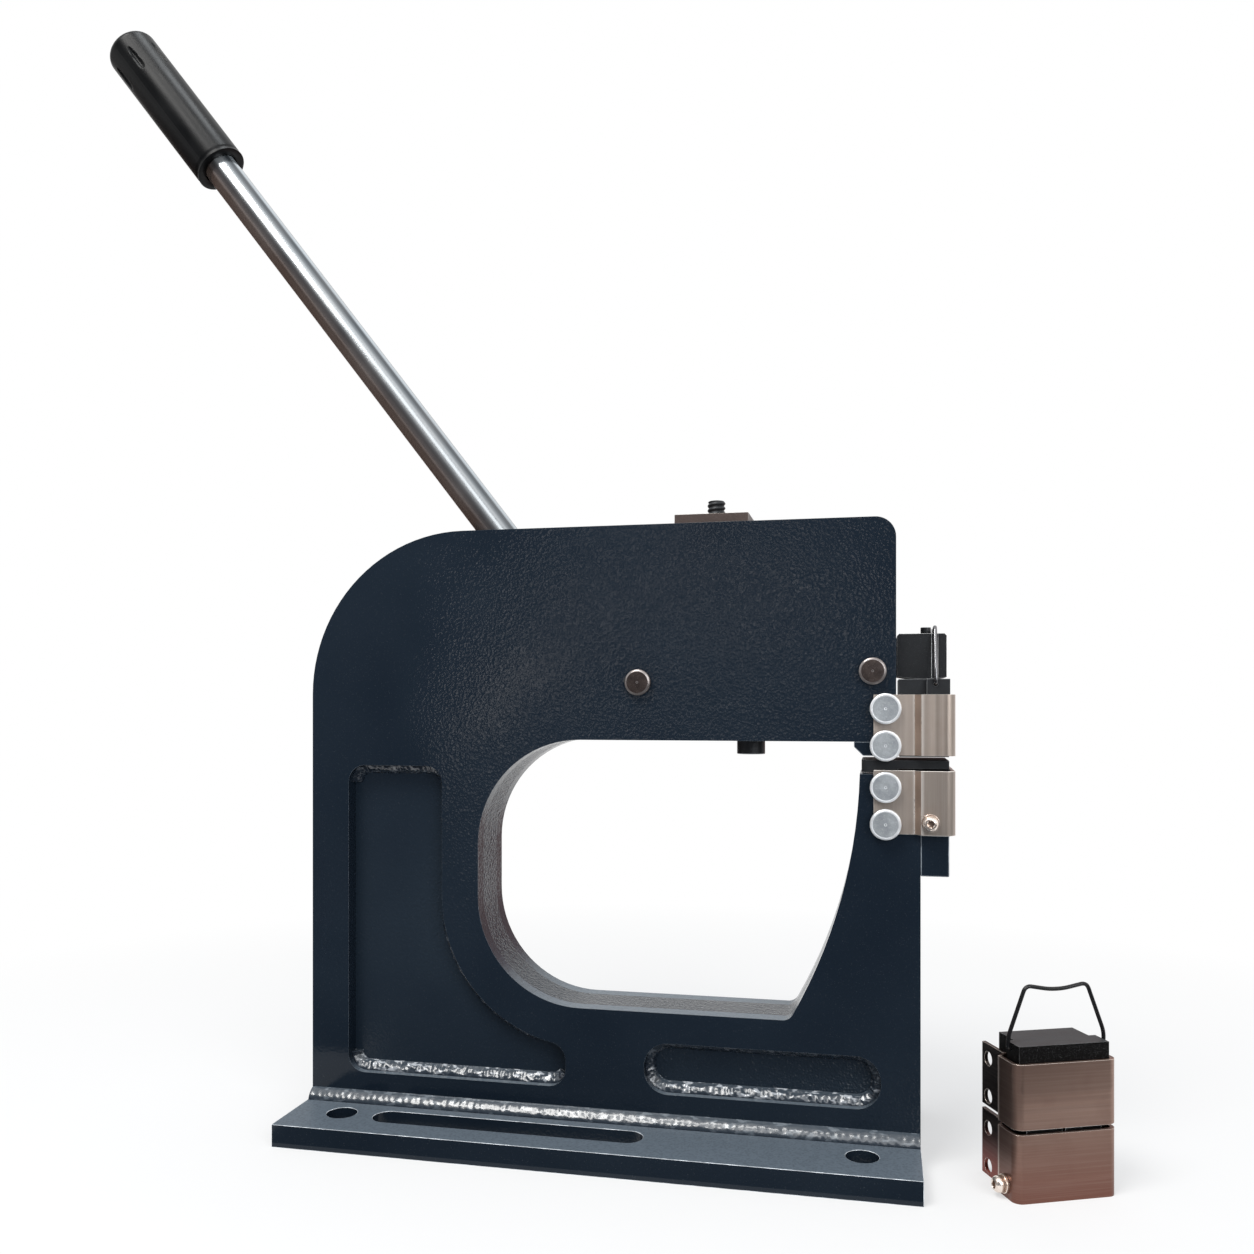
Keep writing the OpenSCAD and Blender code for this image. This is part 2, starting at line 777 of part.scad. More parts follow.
// Stud through the bar, with a collar and a pilot for the spring
module spring_stud() {
  collar_h = 3;
  color(black_oxide)
    translate([stud_x, 0, 0])
      rotate_extrude()
        polygon([
          [0, spring_top_z - 9],
          [spring_d / 2 - spring_wire_d - 1.5, spring_top_z - 9],
          [spring_d / 2 - spring_wire_d - 0.5, spring_top_z - 8],
          [spring_d / 2 - spring_wire_d - 0.5, spring_top_z],
          [spring_d / 2 + 1, spring_top_z],
          [spring_d / 2 + 1, spring_top_z + collar_h],
          [stud_d / 2, spring_top_z + collar_h],
          [stud_d / 2, top_z + bar_t + stud_proud - 1],
          [stud_d / 2 - 1, top_z + bar_t + stud_proud],
          [0, top_z + bar_t + stud_proud]
        ]);
}

// Compression spring between the rocker and the collar, closed at both ends
spring_rings = 8; // rings of points for each turn
spring_sides = 6;
spring_low_z = spring_seat_z + seat + spring_wire_d / 2;
spring_high_z = spring_top_z - 0.05 - spring_wire_d / 2;
spring_end_turns = 1;
spring_mid_r = (spring_d - spring_wire_d) / 2;
end_rise = spring_wire_d + 0.5; // rise of a closed end turn
open_pitch = (spring_high_z - spring_low_z - 2 * end_rise) / (spring_turns - 2 * spring_end_turns);

function spring_z(t) =
  t < spring_end_turns ? spring_low_z + t * end_rise
  : t > spring_turns - spring_end_turns
    ? spring_high_z - (spring_turns - t) * end_rise
    : spring_low_z + end_rise + (t - spring_end_turns) * open_pitch;

spring_steps = spring_turns * spring_rings;
spring_line = [for (i = [0 : spring_steps])
  let (t = i / spring_rings, a = 360 * t)
  [stud_x + spring_mid_r * cos(a), spring_mid_r * sin(a), spring_z(t)]];

function spring_ring(i) =
  let (
    a = 360 * i / spring_rings,
    n = [cos(a), sin(a), 0],
    before = spring_line[max(i - 1, 0)],
    after = spring_line[min(i + 1, spring_steps)],
    along = unit(after - before - n * ((after - before) * n)),
    b = cross(along, n)
  )
  [for (k = [0 : spring_sides - 1])
    let (w = 360 * k / spring_sides)
    spring_line[i] + spring_wire_d / 2 * (cos(w) * n + sin(w) * b)];

// Least gap between neighbouring turns, measured on the centre line
spring_least_gap = min([for (i = [0 : spring_steps - spring_rings])
  norm(spring_line[i + spring_rings] - spring_line[i])]) - spring_wire_d;
echo(spring_least_gap = spring_least_gap);

module return_spring() {
  color(bare_steel)
    skin([for (i = [0 : spring_steps]) spring_ring(i)]);
}

// Cap screw from below, on whose tip the rocker comes to rest
module stop_bolt() {
  color(black_oxide)
    difference() {
      union() {
        translate([stop_x, 0, roof_z - stop_head_h])
          cylinder(d = stop_head_d, h = stop_head_h);
        translate([stop_x, 0, roof_z])
          cylinder(d = stud_d, h = stop_tip_z - roof_z);
      }
      translate([stop_x, 0, roof_z - stop_head_h - over])
        cylinder(d = 11.5, h = 6 + over, $fn = 6);
    }
}

// ---- Jaw housings and their fasteners ----

// One side of a housing's plan, for Y above 0
module housing_half() {
  y_in = half_w;
  y_out = housing_w / 2;
  r = housing_r;
  translate([flange_x, y_in]) square([joggle_x - flange_x, sheet_t]);
  polygon([[joggle_x, y_in], [joggle_end, y_out - sheet_t], [joggle_end, y_out],
    [joggle_x, y_in + sheet_t]]);
  translate([joggle_end, y_out - sheet_t])
    square([housing_end - r - joggle_end, sheet_t]);
  translate([housing_end - r, y_out - r])
    intersection() {
      difference() {
        circle(r = r);
        circle(r = r - sheet_t);
      }
      square(r + over);
    }
  translate([housing_end - sheet_t, 0]) square([sheet_t, y_out - r]);
}

// A bent sheet housing of the given height, standing on Z 0
module housing(h) {
  difference() {
    linear_extrude(h) {
      housing_half();
      mirror([0, 1]) housing_half();
    }
    for (z = [bolt_edge, bolt_edge + bolt_pitch])
      rod_y(bolt_x, z, bolt_d + 1.6, -housing_w, housing_w);
  }
}

screw_up = 8.5; // height of the clamp screw above the housing's lower edge
screw_d = 6;
screw_head_d = 10.6;
screw_head_h = 6;
screw_washer_t = 2;
screw_reach = 8;

// A lower housing also has the hole of its clamp screw, at the given X
module lower_housing_at(screw_x) {
  difference() {
    housing(lower_housing_h);
    rod_y(screw_x, screw_up, screw_d + bolt_play, -housing_w, 0);
  }
}

clamp_x = step_x + 2;

module upper_housing() {
  color(nickel)
    translate([0, 0, upper_z]) housing(upper_housing_h);
}

module lower_housing() {
  color(nickel)
    translate([0, 0, lower_z]) lower_housing_at(clamp_x);
}

// Places of the four housing bolts
bolt_heights = [lower_z + bolt_edge, lower_z + bolt_edge + bolt_pitch,
  upper_z + bolt_edge, upper_z + bolt_edge + bolt_pitch];
nut_t = 6.5;
nut_flange_t = 1.5;

module housing_bolts() {
  y_head = -half_w - sheet_t;
  y_end = half_w + sheet_t + nut_flange_t + nut_t + 2;
  color(zinc)
    for (z = bolt_heights)
      translate([bolt_x, y_head, z])
        rotate([-90, 0, 0])
          rotate_extrude()
            polygon([
              [0, -bolt_head_h],
              [bolt_head_d / 2 - 1, -bolt_head_h],
              [bolt_head_d / 2, -bolt_head_h + 1],
              [bolt_head_d / 2, 0],
              [bolt_d / 2, 0],
              [bolt_d / 2, y_end - y_head - 1],
              [bolt_d / 2 - 1, y_end - y_head],
              [0, y_end - y_head]
            ]);
}

module housing_nuts() {
  y_nut = half_w + sheet_t;
  color(zinc)
    for (z = bolt_heights)
      difference() {
        union() {
          rod_y(bolt_x, z, bolt_d + 9, y_nut, y_nut + nut_flange_t);
          translate([bolt_x, y_nut + nut_flange_t + nut_t, z])
            rotate([90, 0, 0])
              cylinder(d = bolt_d * 1.85, h = nut_t, $fn = 6);
        }
        rod_y(bolt_x, z, bolt_d + 2 * press, y_nut - over,
          y_nut + nut_flange_t + nut_t + over);
      }
}

// Cap screw through the side of a lower housing into its wedge block
module clamp_screw_at(x, z) {
  y_wall = -housing_w / 2 - screw_washer_t;
  color(copper_tone)
    difference() {
      union() {
        rod_y(x, z, screw_head_d, y_wall - screw_head_h, y_wall);
        rod_y(x, z, screw_d, y_wall, -wedge_half + screw_reach);
      }
      translate([x, y_wall - screw_head_h + 3, z])
        rotate([90, 0, 0])
          cylinder(d = 5.8, h = 3 + over, $fn = 6);
    }
}

module clamp_washer_at(x, z) {
  y_wall = -housing_w / 2;
  color(copper_tone)
    difference() {
      rod_y(x, z, screw_head_d + 1.4, y_wall - screw_washer_t, y_wall);
      rod_y(x, z, screw_d + bolt_play, y_wall - screw_washer_t - over, y_wall + over);
    }
}

module clamp_screw() {
  clamp_screw_at(clamp_x, lower_z + screw_up);
}

module clamp_washer() {
  clamp_washer_at(clamp_x, lower_z + screw_up);
}

// ---- Wedge blocks, dies, pins and pads ----
// These stand on the plane of the die faces: Z 0 is the working face and +Z points
// away from the other jaw. The lower parts are the same, turned over.

// Plan of a wedge block: narrow beside the frame, wide inside the box
module wedge_plan() {
  translate([wedge_x, -wedge_neck]) square([step_x - wedge_x, 2 * wedge_neck]);
  translate([step_x - 0.01, -wedge_half]) square([wedge_end - step_x + 0.01, 2 * wedge_half]);
}

// A wedge block from the tips of its legs at z0 to its back at z1
module wedge_block(z0, z1) {
  roof = pocket_half_w - pocket_h * slope;
  difference() {
    translate([0, 0, z0]) linear_extrude(z1 - z0) wedge_plan();
    translate([wedge_end + over, 0, 0])
      rotate([90, 0, -90])
        linear_extrude(wedge_l + 2 * over)
          polygon([[-pocket_half_w - slope, -over], [pocket_half_w + slope, -over],
            [roof, pocket_h], [-roof, pocket_h]]);
    rod_y(die_pin_x, die_pin_up, die_pin_d + 2 * press, -wedge_half - over, wedge_half + over);
  }
}

// Profile of one die across the jaw, for Y above 0
module die_profile() {
  wide = pocket_half_w - wall_play;
  polygon([[die_split / 2, 0], [wide, 0], [wide - die_h * slope, die_h],
    [die_split / 2, die_h]]);
}

die_end_play = 0.4;

// One die on the side of +Y, with the slot of its keeping pin
module die_body(slide) {
  rise = slide * cos(wedge_angle) + 0.2;
  slot_d = die_pin_d + 0.4;
  difference() {
    translate([wedge_end - die_end_play, 0, 0])
      rotate([90, 0, -90])
        mirror([1, 0, 0])
          linear_extrude(wedge_l - 2 * die_end_play)
            die_profile();
    slab(die_pin_in - 1.5, pocket_half_w + over)
      translate([die_pin_x, die_pin_up]) {
        circle(d = slot_d);
        translate([0, -rise]) circle(d = slot_d);
        translate([-slot_d / 2, -rise]) square([slot_d, rise]);
      }
  }
}

// A lower die has a wide head and a tail that reaches back over the upright
module long_die() {
  tail_r = 4;
  x0 = arm_x - die_tail_l;
  x1 = wedge_end - die_end_play;
  union() {
    die_body(lower_die_slide);
    translate([0, 0, 0])
      linear_extrude(head_t)
        translate([wedge_x + die_end_play, die_split / 2])
          square([x1 - wedge_x - die_end_play, head_wide - die_split / 2]);
    linear_extrude(tail_t)
      difference() {
        translate([x0, die_split / 2])
          square([wedge_x - x0 - 0.6, head_wide - die_split / 2]);
        translate([x0 + tail_r, head_wide - tail_r])
          rotate(90) corner_cut(tail_r);
      }
    linear_extrude(head_t)
      translate([wedge_x - 1, die_split / 2])
        square([2, head_wide - die_split / 2]);
  }
}

// Both keeping pins of a wedge block
module die_pins() {
  for (s = [0, 1])
    mirror([0, s, 0])
      rod_y(die_pin_x, die_pin_up, die_pin_d, die_pin_in, wedge_half - 0.3);
}

// Both rubber pads between the dies and the roof of the pocket
module die_pads() {
  pad_x = wedge_x + 11;
  pad_y = 7.5;
  for (s = [-1, 1])
    translate([pad_x, s * pad_y, die_h + 0.05])
      cylinder(d = pad_d, h = pad_t - 0.1);
}

// Places a part at the face of the upper or the lower dies
module at_upper_face() {
  translate([0, 0, upper_face_z]) children();
}

module at_lower_face() {
  translate([0, 0, lower_face_z]) mirror([0, 0, 1]) children();
}

// The upper wedge block, with the eyes of its bail
module upper_wedge_block(z1) {
  difference() {
    wedge_block(leg_gap_up, z1);
    for (s = [0, 1])
      mirror([0, s, 0])
        rod_y(bail_x, z1 - wedge_top_z + bail_z, bail_wire_d + 0.2,
          wedge_half - bail_hook - 0.5, wedge_half + over);
  }
}

bail_hook = 4.5;

module upper_wedge() {
  color(black_oxide)
    at_upper_face() upper_wedge_block(wedge_top_z - upper_face_z);
}

module lower_wedge() {
  color(black_oxide)
    difference() {
      at_lower_face() wedge_block(leg_gap_low, lower_face_z - ledge_z);
      rod_y(clamp_x, lower_z + screw_up, screw_d + 2 * press, -wedge_half - over,
        -wedge_half + screw_reach + 0.5);
    }
}

module upper_die_back() {
  color(black_oxide) at_upper_face() die_body(upper_die_slide);
}

module upper_die_front() {
  color(black_oxide) at_upper_face() mirror([0, 1, 0]) die_body(upper_die_slide);
}

module lower_die_back() {
  color(black_oxide) at_lower_face() long_die();
}

module lower_die_front() {
  color(black_oxide) at_lower_face() mirror([0, 1, 0]) long_die();
}

module upper_die_pins() {
  color(bare_steel) at_upper_face() die_pins();
}

module lower_die_pins() {
  color(bare_steel) at_lower_face() die_pins();
}

module upper_die_pads() {
  color(rubber_black) at_upper_face() die_pads();
}

module lower_die_pads() {
  color(rubber_black) at_lower_face() die_pads();
}

// ---- Bail ----

bail_sides = 8;
bail_leg_y = wedge_half + bail_wire_d / 2 + 1;
bail_rise = 7.6; // the legs stand straight this far, so that the bail folds past the block

// Half of the bail's centre line in Y and Z, from the hook's tip to the dip
bail_half = [
  [wedge_half - bail_hook, 0],
  [bail_leg_y - 1.6, 0],
  [bail_leg_y - 0.4, 0.5],
  [bail_leg_y, 1.8],
  [bail_leg_y, bail_rise],
  [bail_shoulder + 1.3, bail_h - 3.2],
  [bail_shoulder, bail_h - 1],
  [bail_shoulder - 2.4, bail_h],
  [2, bail_h - bail_dip + 0.2],
  [0, bail_h - bail_dip]
];
bail_last = len(bail_half) - 1;
bail_line = concat(
  [for (i = [0 : bail_last - 1]) [-bail_half[i][0], bail_half[i][1]]],
  [for (i = [bail_last : -1 : 0]) bail_half[i]]
);

function bail_along(i) =
  let (n = len(bail_line) - 1,
    before = i > 0 ? unit(bail_line[i] - bail_line[i - 1]) : [0, 0],
    after = i < n ? unit(bail_line[i + 1] - bail_line[i]) : [0, 0])
  unit(before + after);

function bail_ring(i) =
  let (t = bail_along(i), side = [-t[1], t[0]])
  [for (k = [0 : bail_sides - 1])
    let (w = 360 * (k + 0.5) / bail_sides, p = bail_line[i] + bail_wire_d / 2 * cos(w) * side)
    [bail_wire_d / 2 * sin(w), p[0], p[1]]];

// The bail stands in the plane X 0, its eyes on the Y axis
module bail() {
  skin([for (i = [0 : len(bail_line) - 1]) bail_ring(i)]);
}

module jaw_bail() {
  color(chrome) translate([bail_x, 0, bail_z]) bail();
}

// ---- Rocker, roller and ram head ----

// A point at a place of the profile, turned clockwise about the centre
function turned(p, c, angle) =
  let (v = p - c)
  c + [v[0] * cos(angle) + v[1] * sin(angle), -v[0] * sin(angle) + v[1] * cos(angle)];

// Profile of the rocker in X and Z, without its nose
module rocker_profile() {
  eye_r = rocker_eye_d / 2;
  seat_half = spring_d / 2 + 2;
  end_r = roller_d / 2 - 2.5;
  stop_z = stop_tip_z + seat;
  translate([roller_x, roller_z]) circle(r = end_r);
  translate([rocker_x, rocker_z]) circle(r = eye_r);
  polygon([
    [roller_x, roller_z + end_r],
    [stud_x - seat_half, spring_seat_z],
    [stud_x + seat_half, spring_seat_z],
    [rocker_x, rocker_z + eye_r],
    [arm_x, rocker_z + eye_r],
    [arm_x, tongue_z],
    [rocker_x, rocker_z - eye_r],
    [stop_x + 10, stop_z],
    [stop_x - 10, stop_z],
    [roller_x + end_r, roller_z - 1],
    [roller_x, roller_z]
  ]);
}

bush_d = pin_d + 2 * bush_wall;

module rocker_beam() {
  fork_r = roller_d / 2 + 2;
  fork_w = roller_w + 0.8;
  color(black_oxide)
    difference() {
      union() {
        slab(-rocker_t / 2, rocker_t / 2) rocker_profile();
        slab(-tongue_w / 2, tongue_w / 2)
          translate([rocker_x + rocker_eye_d / 2 - 2, tongue_z])
            square([arm_x + ram_back + tongue_l - rocker_x - rocker_eye_d / 2 + 2, tongue_h]);
      }
      rod_y(rocker_x, rocker_z, bush_d + 2 * press, -half_w, half_w);
      rod_y(roller_x, roller_z, roller_pin_d + 2 * press, -half_w, half_w);
      rod_y(roller_x, roller_z, 2 * fork_r, -fork_w / 2, fork_w / 2);
      translate([head_screw_x, 0, tongue_z - over])
        cylinder(d = 5 + 2 * press, h = tongue_h + 2 * over);
    }
}

module rocker_bush() {
  color(bronze)
    difference() {
      rod_y(rocker_x, rocker_z, bush_d, -rocker_t / 2, rocker_t / 2);
      rod_y(rocker_x, rocker_z, pin_d + 2 * slip, -half_w, half_w);
    }
}

roller_pin_d = 8;

module roller_pin() {
  color(bare_steel)
    rod_y(roller_x, roller_z, roller_pin_d, -rocker_t / 2, rocker_t / 2);
}

module cam_roller() {
  color(bare_steel)
    difference() {
      rod_y(roller_x, roller_z, roller_d, -roller_w / 2, roller_w / 2);
      rod_y(roller_x, roller_z, roller_pin_d + 2 * slip, -half_w, half_w);
    }
}

// Ram head over the nose of the rocker, its lower face crowned along the arm
module ram_head() {
  play = 0.05;
  wire_cut = 1.2;
  color(black_oxide)
    difference() {
      intersection() {
        slab(-ram_w / 2, ram_w / 2)
          polygon([
            [ram_x, ram_z], [ram_x + ram_l, ram_z],
            [ram_x + ram_l, ram_top_z - edge_chamfer],
            [ram_x + ram_l - edge_chamfer, ram_top_z],
            [ram_x + edge_chamfer, ram_top_z],
            [ram_x, ram_top_z - edge_chamfer]
          ]);
        slab(-ram_w, ram_w)
          translate([contact_x, ram_z + ram_crown_r])
            circle(r = ram_crown_r, $fn = 360);
      }
      translate([ram_x - over, -tongue_w / 2 - play, tongue_z - play])
        cube([tongue_l + play + over, tongue_w + 2 * play, tongue_h + 2 * play]);
      translate([head_screw_x, 0, ram_z + 4])
        cylinder(d = 5.4, h = ram_h);
      for (s = [-1, 1])
        translate([bail_x, s * ram_w / 2, ram_top_z])
          cube([bail_wire_d + 1.6, 2 * wire_cut, 3 * ram_h], center = true);
    }
}

module head_screw() {
  color(black_oxide)
    difference() {
      union() {
        translate([head_screw_x, 0, ram_top_z]) cylinder(d = 7, h = 5.2);
        translate([head_screw_x, 0, tongue_z + 1])
          cylinder(d = 5, h = ram_top_z - tongue_z - 1);
      }
      translate([head_screw_x, 0, ram_top_z + 2.6])
        cylinder(d = 4.6, h = 3.6, $fn = 6);
    }
}

// ---- Handle with its cam ----

// Place of the roller's axis in the lever's own frame when the handle has turned by a:
// the rocker carries the roller round its pivot, and the lever turns back by a
function roller_seen(a) =
  turned(turned([roller_x, roller_z], [rocker_x, rocker_z], a * rocker_turn / handle_turn),
    [lever_x, lever_z], -a);

cam_step = 3;
cam_lead = 15; // the cam starts this far before the rest position
cam_lag = 9; // and runs on this far past the end of the stroke

// A point of the cam: one roller radius and a gap inside the roller's path
function cam_point(a) =
  let (
    t = unit(roller_seen(a + 0.5) - roller_seen(a - 0.5)),
    n = [t[1], -t[0]],
    p = roller_seen(a),
    inward = n * ([lever_x, lever_z] - p) > 0 ? n : -n
  )
  p + (roller_d / 2 + seat) * inward;

cam_count = ceil((handle_turn + cam_lead + cam_lag) / cam_step);
cam_curve = [for (i = [0 : cam_count])
  cam_point(-cam_lead + i * (handle_turn + cam_lead + cam_lag) / cam_count)];

// Places a part on the handle's axis: +Z runs along the rod, away from the pivot
module on_handle() {
  translate([axis_foot[0], 0, axis_foot[1]])
    rotate([0, handle_lean - 90, 0])
      children();
}

module lever_hub() {
  blend = axis_foot + 46 * axis_dir - (socket_r - 1) * axis_side;
  color(black_oxide)
    difference() {
      union() {
        slab(-hub_t / 2, hub_t / 2) {
          translate([lever_x, lever_z]) circle(r = hub_r);
          polygon(concat(cam_curve, [blend, axis_foot + 40 * axis_dir, [lever_x, lever_z]]));
        }
        on_handle() cylinder(r = socket_r, h = socket_l);
      }
      rod_y(lever_x, lever_z, bush_d + 2 * press, -half_w, half_w);
      on_handle()
        translate([0, 0, tenon_start])
          cylinder(d = tenon_d + 2 * press, h = socket_l);
      on_handle()
        translate([0, 0, rod_pin_up])
          rotate([90, 0, 0])
            cylinder(d = rod_pin_d + 2 * press, h = frame_w, center = true);
    }
}

rod_pin_up = 48;
rod_pin_d = 5;

module lever_bush() {
  color(bronze)
    difference() {
      rod_y(lever_x, lever_z, bush_d, -hub_t / 2, hub_t / 2);
      rod_y(lever_x, lever_z, pin_d + 2 * slip, -half_w, half_w);
    }
}

module handle_rod() {
  tenon_gap = 0.5;
  grip_wall_end = 6;
  color(chrome)
    on_handle()
      difference() {
        union() {
          translate([0, 0, tenon_start + tenon_gap])
            cylinder(d = tenon_d, h = socket_l - tenon_start);
          translate([0, 0, socket_l])
            cylinder(d = rod_d, h = handle_l - grip_wall_end - socket_l);
        }
        translate([0, 0, rod_pin_up])
          rotate([90, 0, 0])
            cylinder(d = rod_pin_d + 2 * press, h = frame_w, center = true);
      }
}

module rod_pin() {
  color(bare_steel)
    on_handle()
      translate([0, 0, rod_pin_up])
        rotate([90, 0, 0])
          cylinder(d = rod_pin_d, h = rocker_t - 1, center = true);
}

grip_flutes = 9;
flute_l = 26;
flute_d = 5;

// Moulded grip: a sleeve with a domed end, a rim at its mouth and flutes at its tip
module hand_grip() {
  start = handle_l - grip_l;
  dome = 5;
  rim = 0.8;
  mouth = 3;
  play = 0.05;
  end_wall = 5.5;
  color(grip_black)
    on_handle()
      difference() {
        rotate_extrude()
          polygon([
            [0, handle_l - end_wall],
            [rod_d / 2 + play, handle_l - end_wall],
            [rod_d / 2 + play, start + mouth],
            [rod_d / 2 + mouth, start],
            [grip_d / 2 - 1, start],
            [grip_d / 2, start + 1],
            [grip_d / 2, start + 5],
            [grip_d / 2 - rim, start + 7],
            [grip_d / 2 - rim, handle_l - 30],
            [grip_d / 2, handle_l - 24],
            [grip_d / 2, handle_l - dome],
            [grip_d / 2 - 1.6, handle_l - 1.6],
            [grip_d / 2 - dome, handle_l],
            [0, handle_l]
          ]);
        for (i = [0 : grip_flutes - 1])
          rotate(360 * i / grip_flutes)
            translate([grip_d / 2 + 1.2, 0, handle_l - 8 - flute_l])
              cylinder(d = flute_d, h = flute_l);
      }
}

// ---- Second jaw set ----

// Puts a part of the jaws, given at the frame, on the floor beside it
module at_spare() {
  turn = spare_turn - 90;
  translate([spare_near[0], spare_near[1], 0])
    rotate(turn)
      translate([-housing_end, housing_w / 2, 0])
        children();
}

module at_spare_lower_face() {
  at_spare()
    translate([0, 0, spare_face_z]) mirror([0, 0, 1]) children();
}

module at_spare_upper_face() {
  at_spare()
    translate([0, 0, spare_face_z]) children();
}

module spare_lower_housing() {
  color(nickel) at_spare() lower_housing_at(spare_screw_x);
}

module spare_upper_housing() {
  color(nickel)
    at_spare() translate([0, 0, spare_upper_z]) housing(upper_housing_h);
}

module spare_lower_wedge() {
  color(black_oxide)
    at_spare()
      difference() {
        translate([0, 0, spare_face_z])
          mirror([0, 0, 1])
            wedge_block(leg_gap_low, spare_face_z);
        rod_y(spare_screw_x, screw_up, screw_d + 2 * press, -wedge_half - over,
          -wedge_half + screw_reach + 0.5);
      }
}

// A die of the second set has the wide head but no tail
module short_die() {
  union() {
    die_body(lower_die_slide);
    linear_extrude(head_t)
      translate([wedge_x + die_end_play, die_split / 2])
        square([wedge_l - 2 * die_end_play, head_wide - die_split / 2]);
  }
}

module spare_lower_dies() {
  color(black_oxide)
    at_spare_lower_face()
      for (s = [0, 1]) mirror([0, s, 0]) short_die();
}

module spare_lower_pins() {
  color(bare_steel) at_spare_lower_face() die_pins();
}

module spare_lower_pads() {
  color(rubber_black) at_spare_lower_face() die_pads();
}

module spare_clamp_screw() {
  at_spare() clamp_screw_at(spare_screw_x, screw_up);
}

module spare_clamp_washer() {
  at_spare() clamp_washer_at(spare_screw_x, screw_up);
}

spare_back_z = spare_upper_z + upper_housing_h + wedge_proud - spare_face_z;

module spare_upper_wedge() {
  color(black_oxide) at_spare_upper_face() upper_wedge_block(spare_back_z);
}

module spare_upper_dies() {
  color(black_oxide)
    at_spare_upper_face()
      for (s = [0, 1]) mirror([0, s, 0]) die_body(upper_die_slide);
}

module spare_upper_pins() {
  color(bare_steel) at_spare_upper_face() die_pins();
}

module spare_upper_pads() {
  color(rubber_black) at_spare_upper_face() die_pads();
}

module spare_bail() {
  color(black_oxide)
    at_spare_upper_face()
      translate([bail_x, 0, spare_back_z - wedge_top_z + bail_z])
        bail();
}

base_plate();
side_plate_front();
side_plate_back();
core_plate();
base_welds();
window_welds();
nose_block();
anvil_block();
lever_pin();
rocker_pin();
retaining_rings();
spring_bar();
bar_screws();
spring_stud();
return_spring();
stop_bolt();
upper_housing();
lower_housing();
housing_bolts();
housing_nuts();
clamp_screw();
clamp_washer();
lower_wedge();
lower_die_pins();
lower_die_pads();
lower_die_front();
lower_die_back();
lever_hub();
lever_bush();
handle_rod();
rod_pin();
hand_grip();
rocker_beam();
rocker_bush();
ram_head();
head_screw();
roller_pin();
cam_roller();
upper_wedge();
upper_die_pins();
upper_die_pads();
upper_die_front();
upper_die_back();
jaw_bail();
spare_lower_housing();
spare_upper_housing();
spare_lower_wedge();
spare_lower_dies();
spare_lower_pins();
spare_lower_pads();
spare_clamp_screw();
spare_clamp_washer();
spare_upper_wedge();
spare_upper_dies();
spare_upper_pins();
spare_upper_pads();
spare_bail();
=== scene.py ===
import math

import bmesh
import bpy
from mathutils import Matrix, Vector


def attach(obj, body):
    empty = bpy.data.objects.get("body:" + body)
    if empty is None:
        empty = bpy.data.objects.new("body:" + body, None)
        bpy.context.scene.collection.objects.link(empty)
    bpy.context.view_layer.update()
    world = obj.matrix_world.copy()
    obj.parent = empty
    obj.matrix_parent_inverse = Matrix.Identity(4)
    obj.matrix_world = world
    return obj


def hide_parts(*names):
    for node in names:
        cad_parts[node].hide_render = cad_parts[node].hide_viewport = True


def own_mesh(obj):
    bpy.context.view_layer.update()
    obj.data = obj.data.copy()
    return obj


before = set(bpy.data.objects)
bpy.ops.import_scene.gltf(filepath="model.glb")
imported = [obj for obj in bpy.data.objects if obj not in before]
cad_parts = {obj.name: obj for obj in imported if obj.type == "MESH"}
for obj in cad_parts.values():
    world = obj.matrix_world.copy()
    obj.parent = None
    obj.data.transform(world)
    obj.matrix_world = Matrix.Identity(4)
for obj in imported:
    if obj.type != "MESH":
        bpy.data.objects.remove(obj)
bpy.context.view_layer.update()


# ---- Table and studio light ----
# The tool stands on a plain white table that runs back into a white background. The light is
# soft: one large box from the upper left, a weak fill, and the pale room all round.
# Dark and warm cards that only reflections see stand in for the rest of the room.

class Wire:
    """A value on its way through a node tree. Sums and products of wires add their Math nodes."""

    def __init__(self, bench, socket):
        self.bench = bench
        self.socket = socket

    def maths(self, operation, first, second):
        return self.bench.add("ShaderNodeMath", {"operation": operation}, {0: first, 1: second})

    def __add__(self, other):
        return self.maths("ADD", self, other)

    def __radd__(self, other):
        return self.maths("ADD", other, self)

    def __sub__(self, other):
        return self.maths("SUBTRACT", self, other)

    def __rsub__(self, other):
        return self.maths("SUBTRACT", other, self)

    def __mul__(self, other):
        return self.maths("MULTIPLY", self, other)

    def __rmul__(self, other):
        return self.maths("MULTIPLY", other, self)

    def __truediv__(self, other):
        return self.maths("DIVIDE", self, other)

    def __rtruediv__(self, other):
        return self.maths("DIVIDE", other, self)

    def __pow__(self, other):
        return self.maths("POWER", self, other)

    def __gt__(self, other):
        return self.maths("GREATER_THAN", self, other)

    def __lt__(self, other):
        return self.maths("LESS_THAN", self, other)


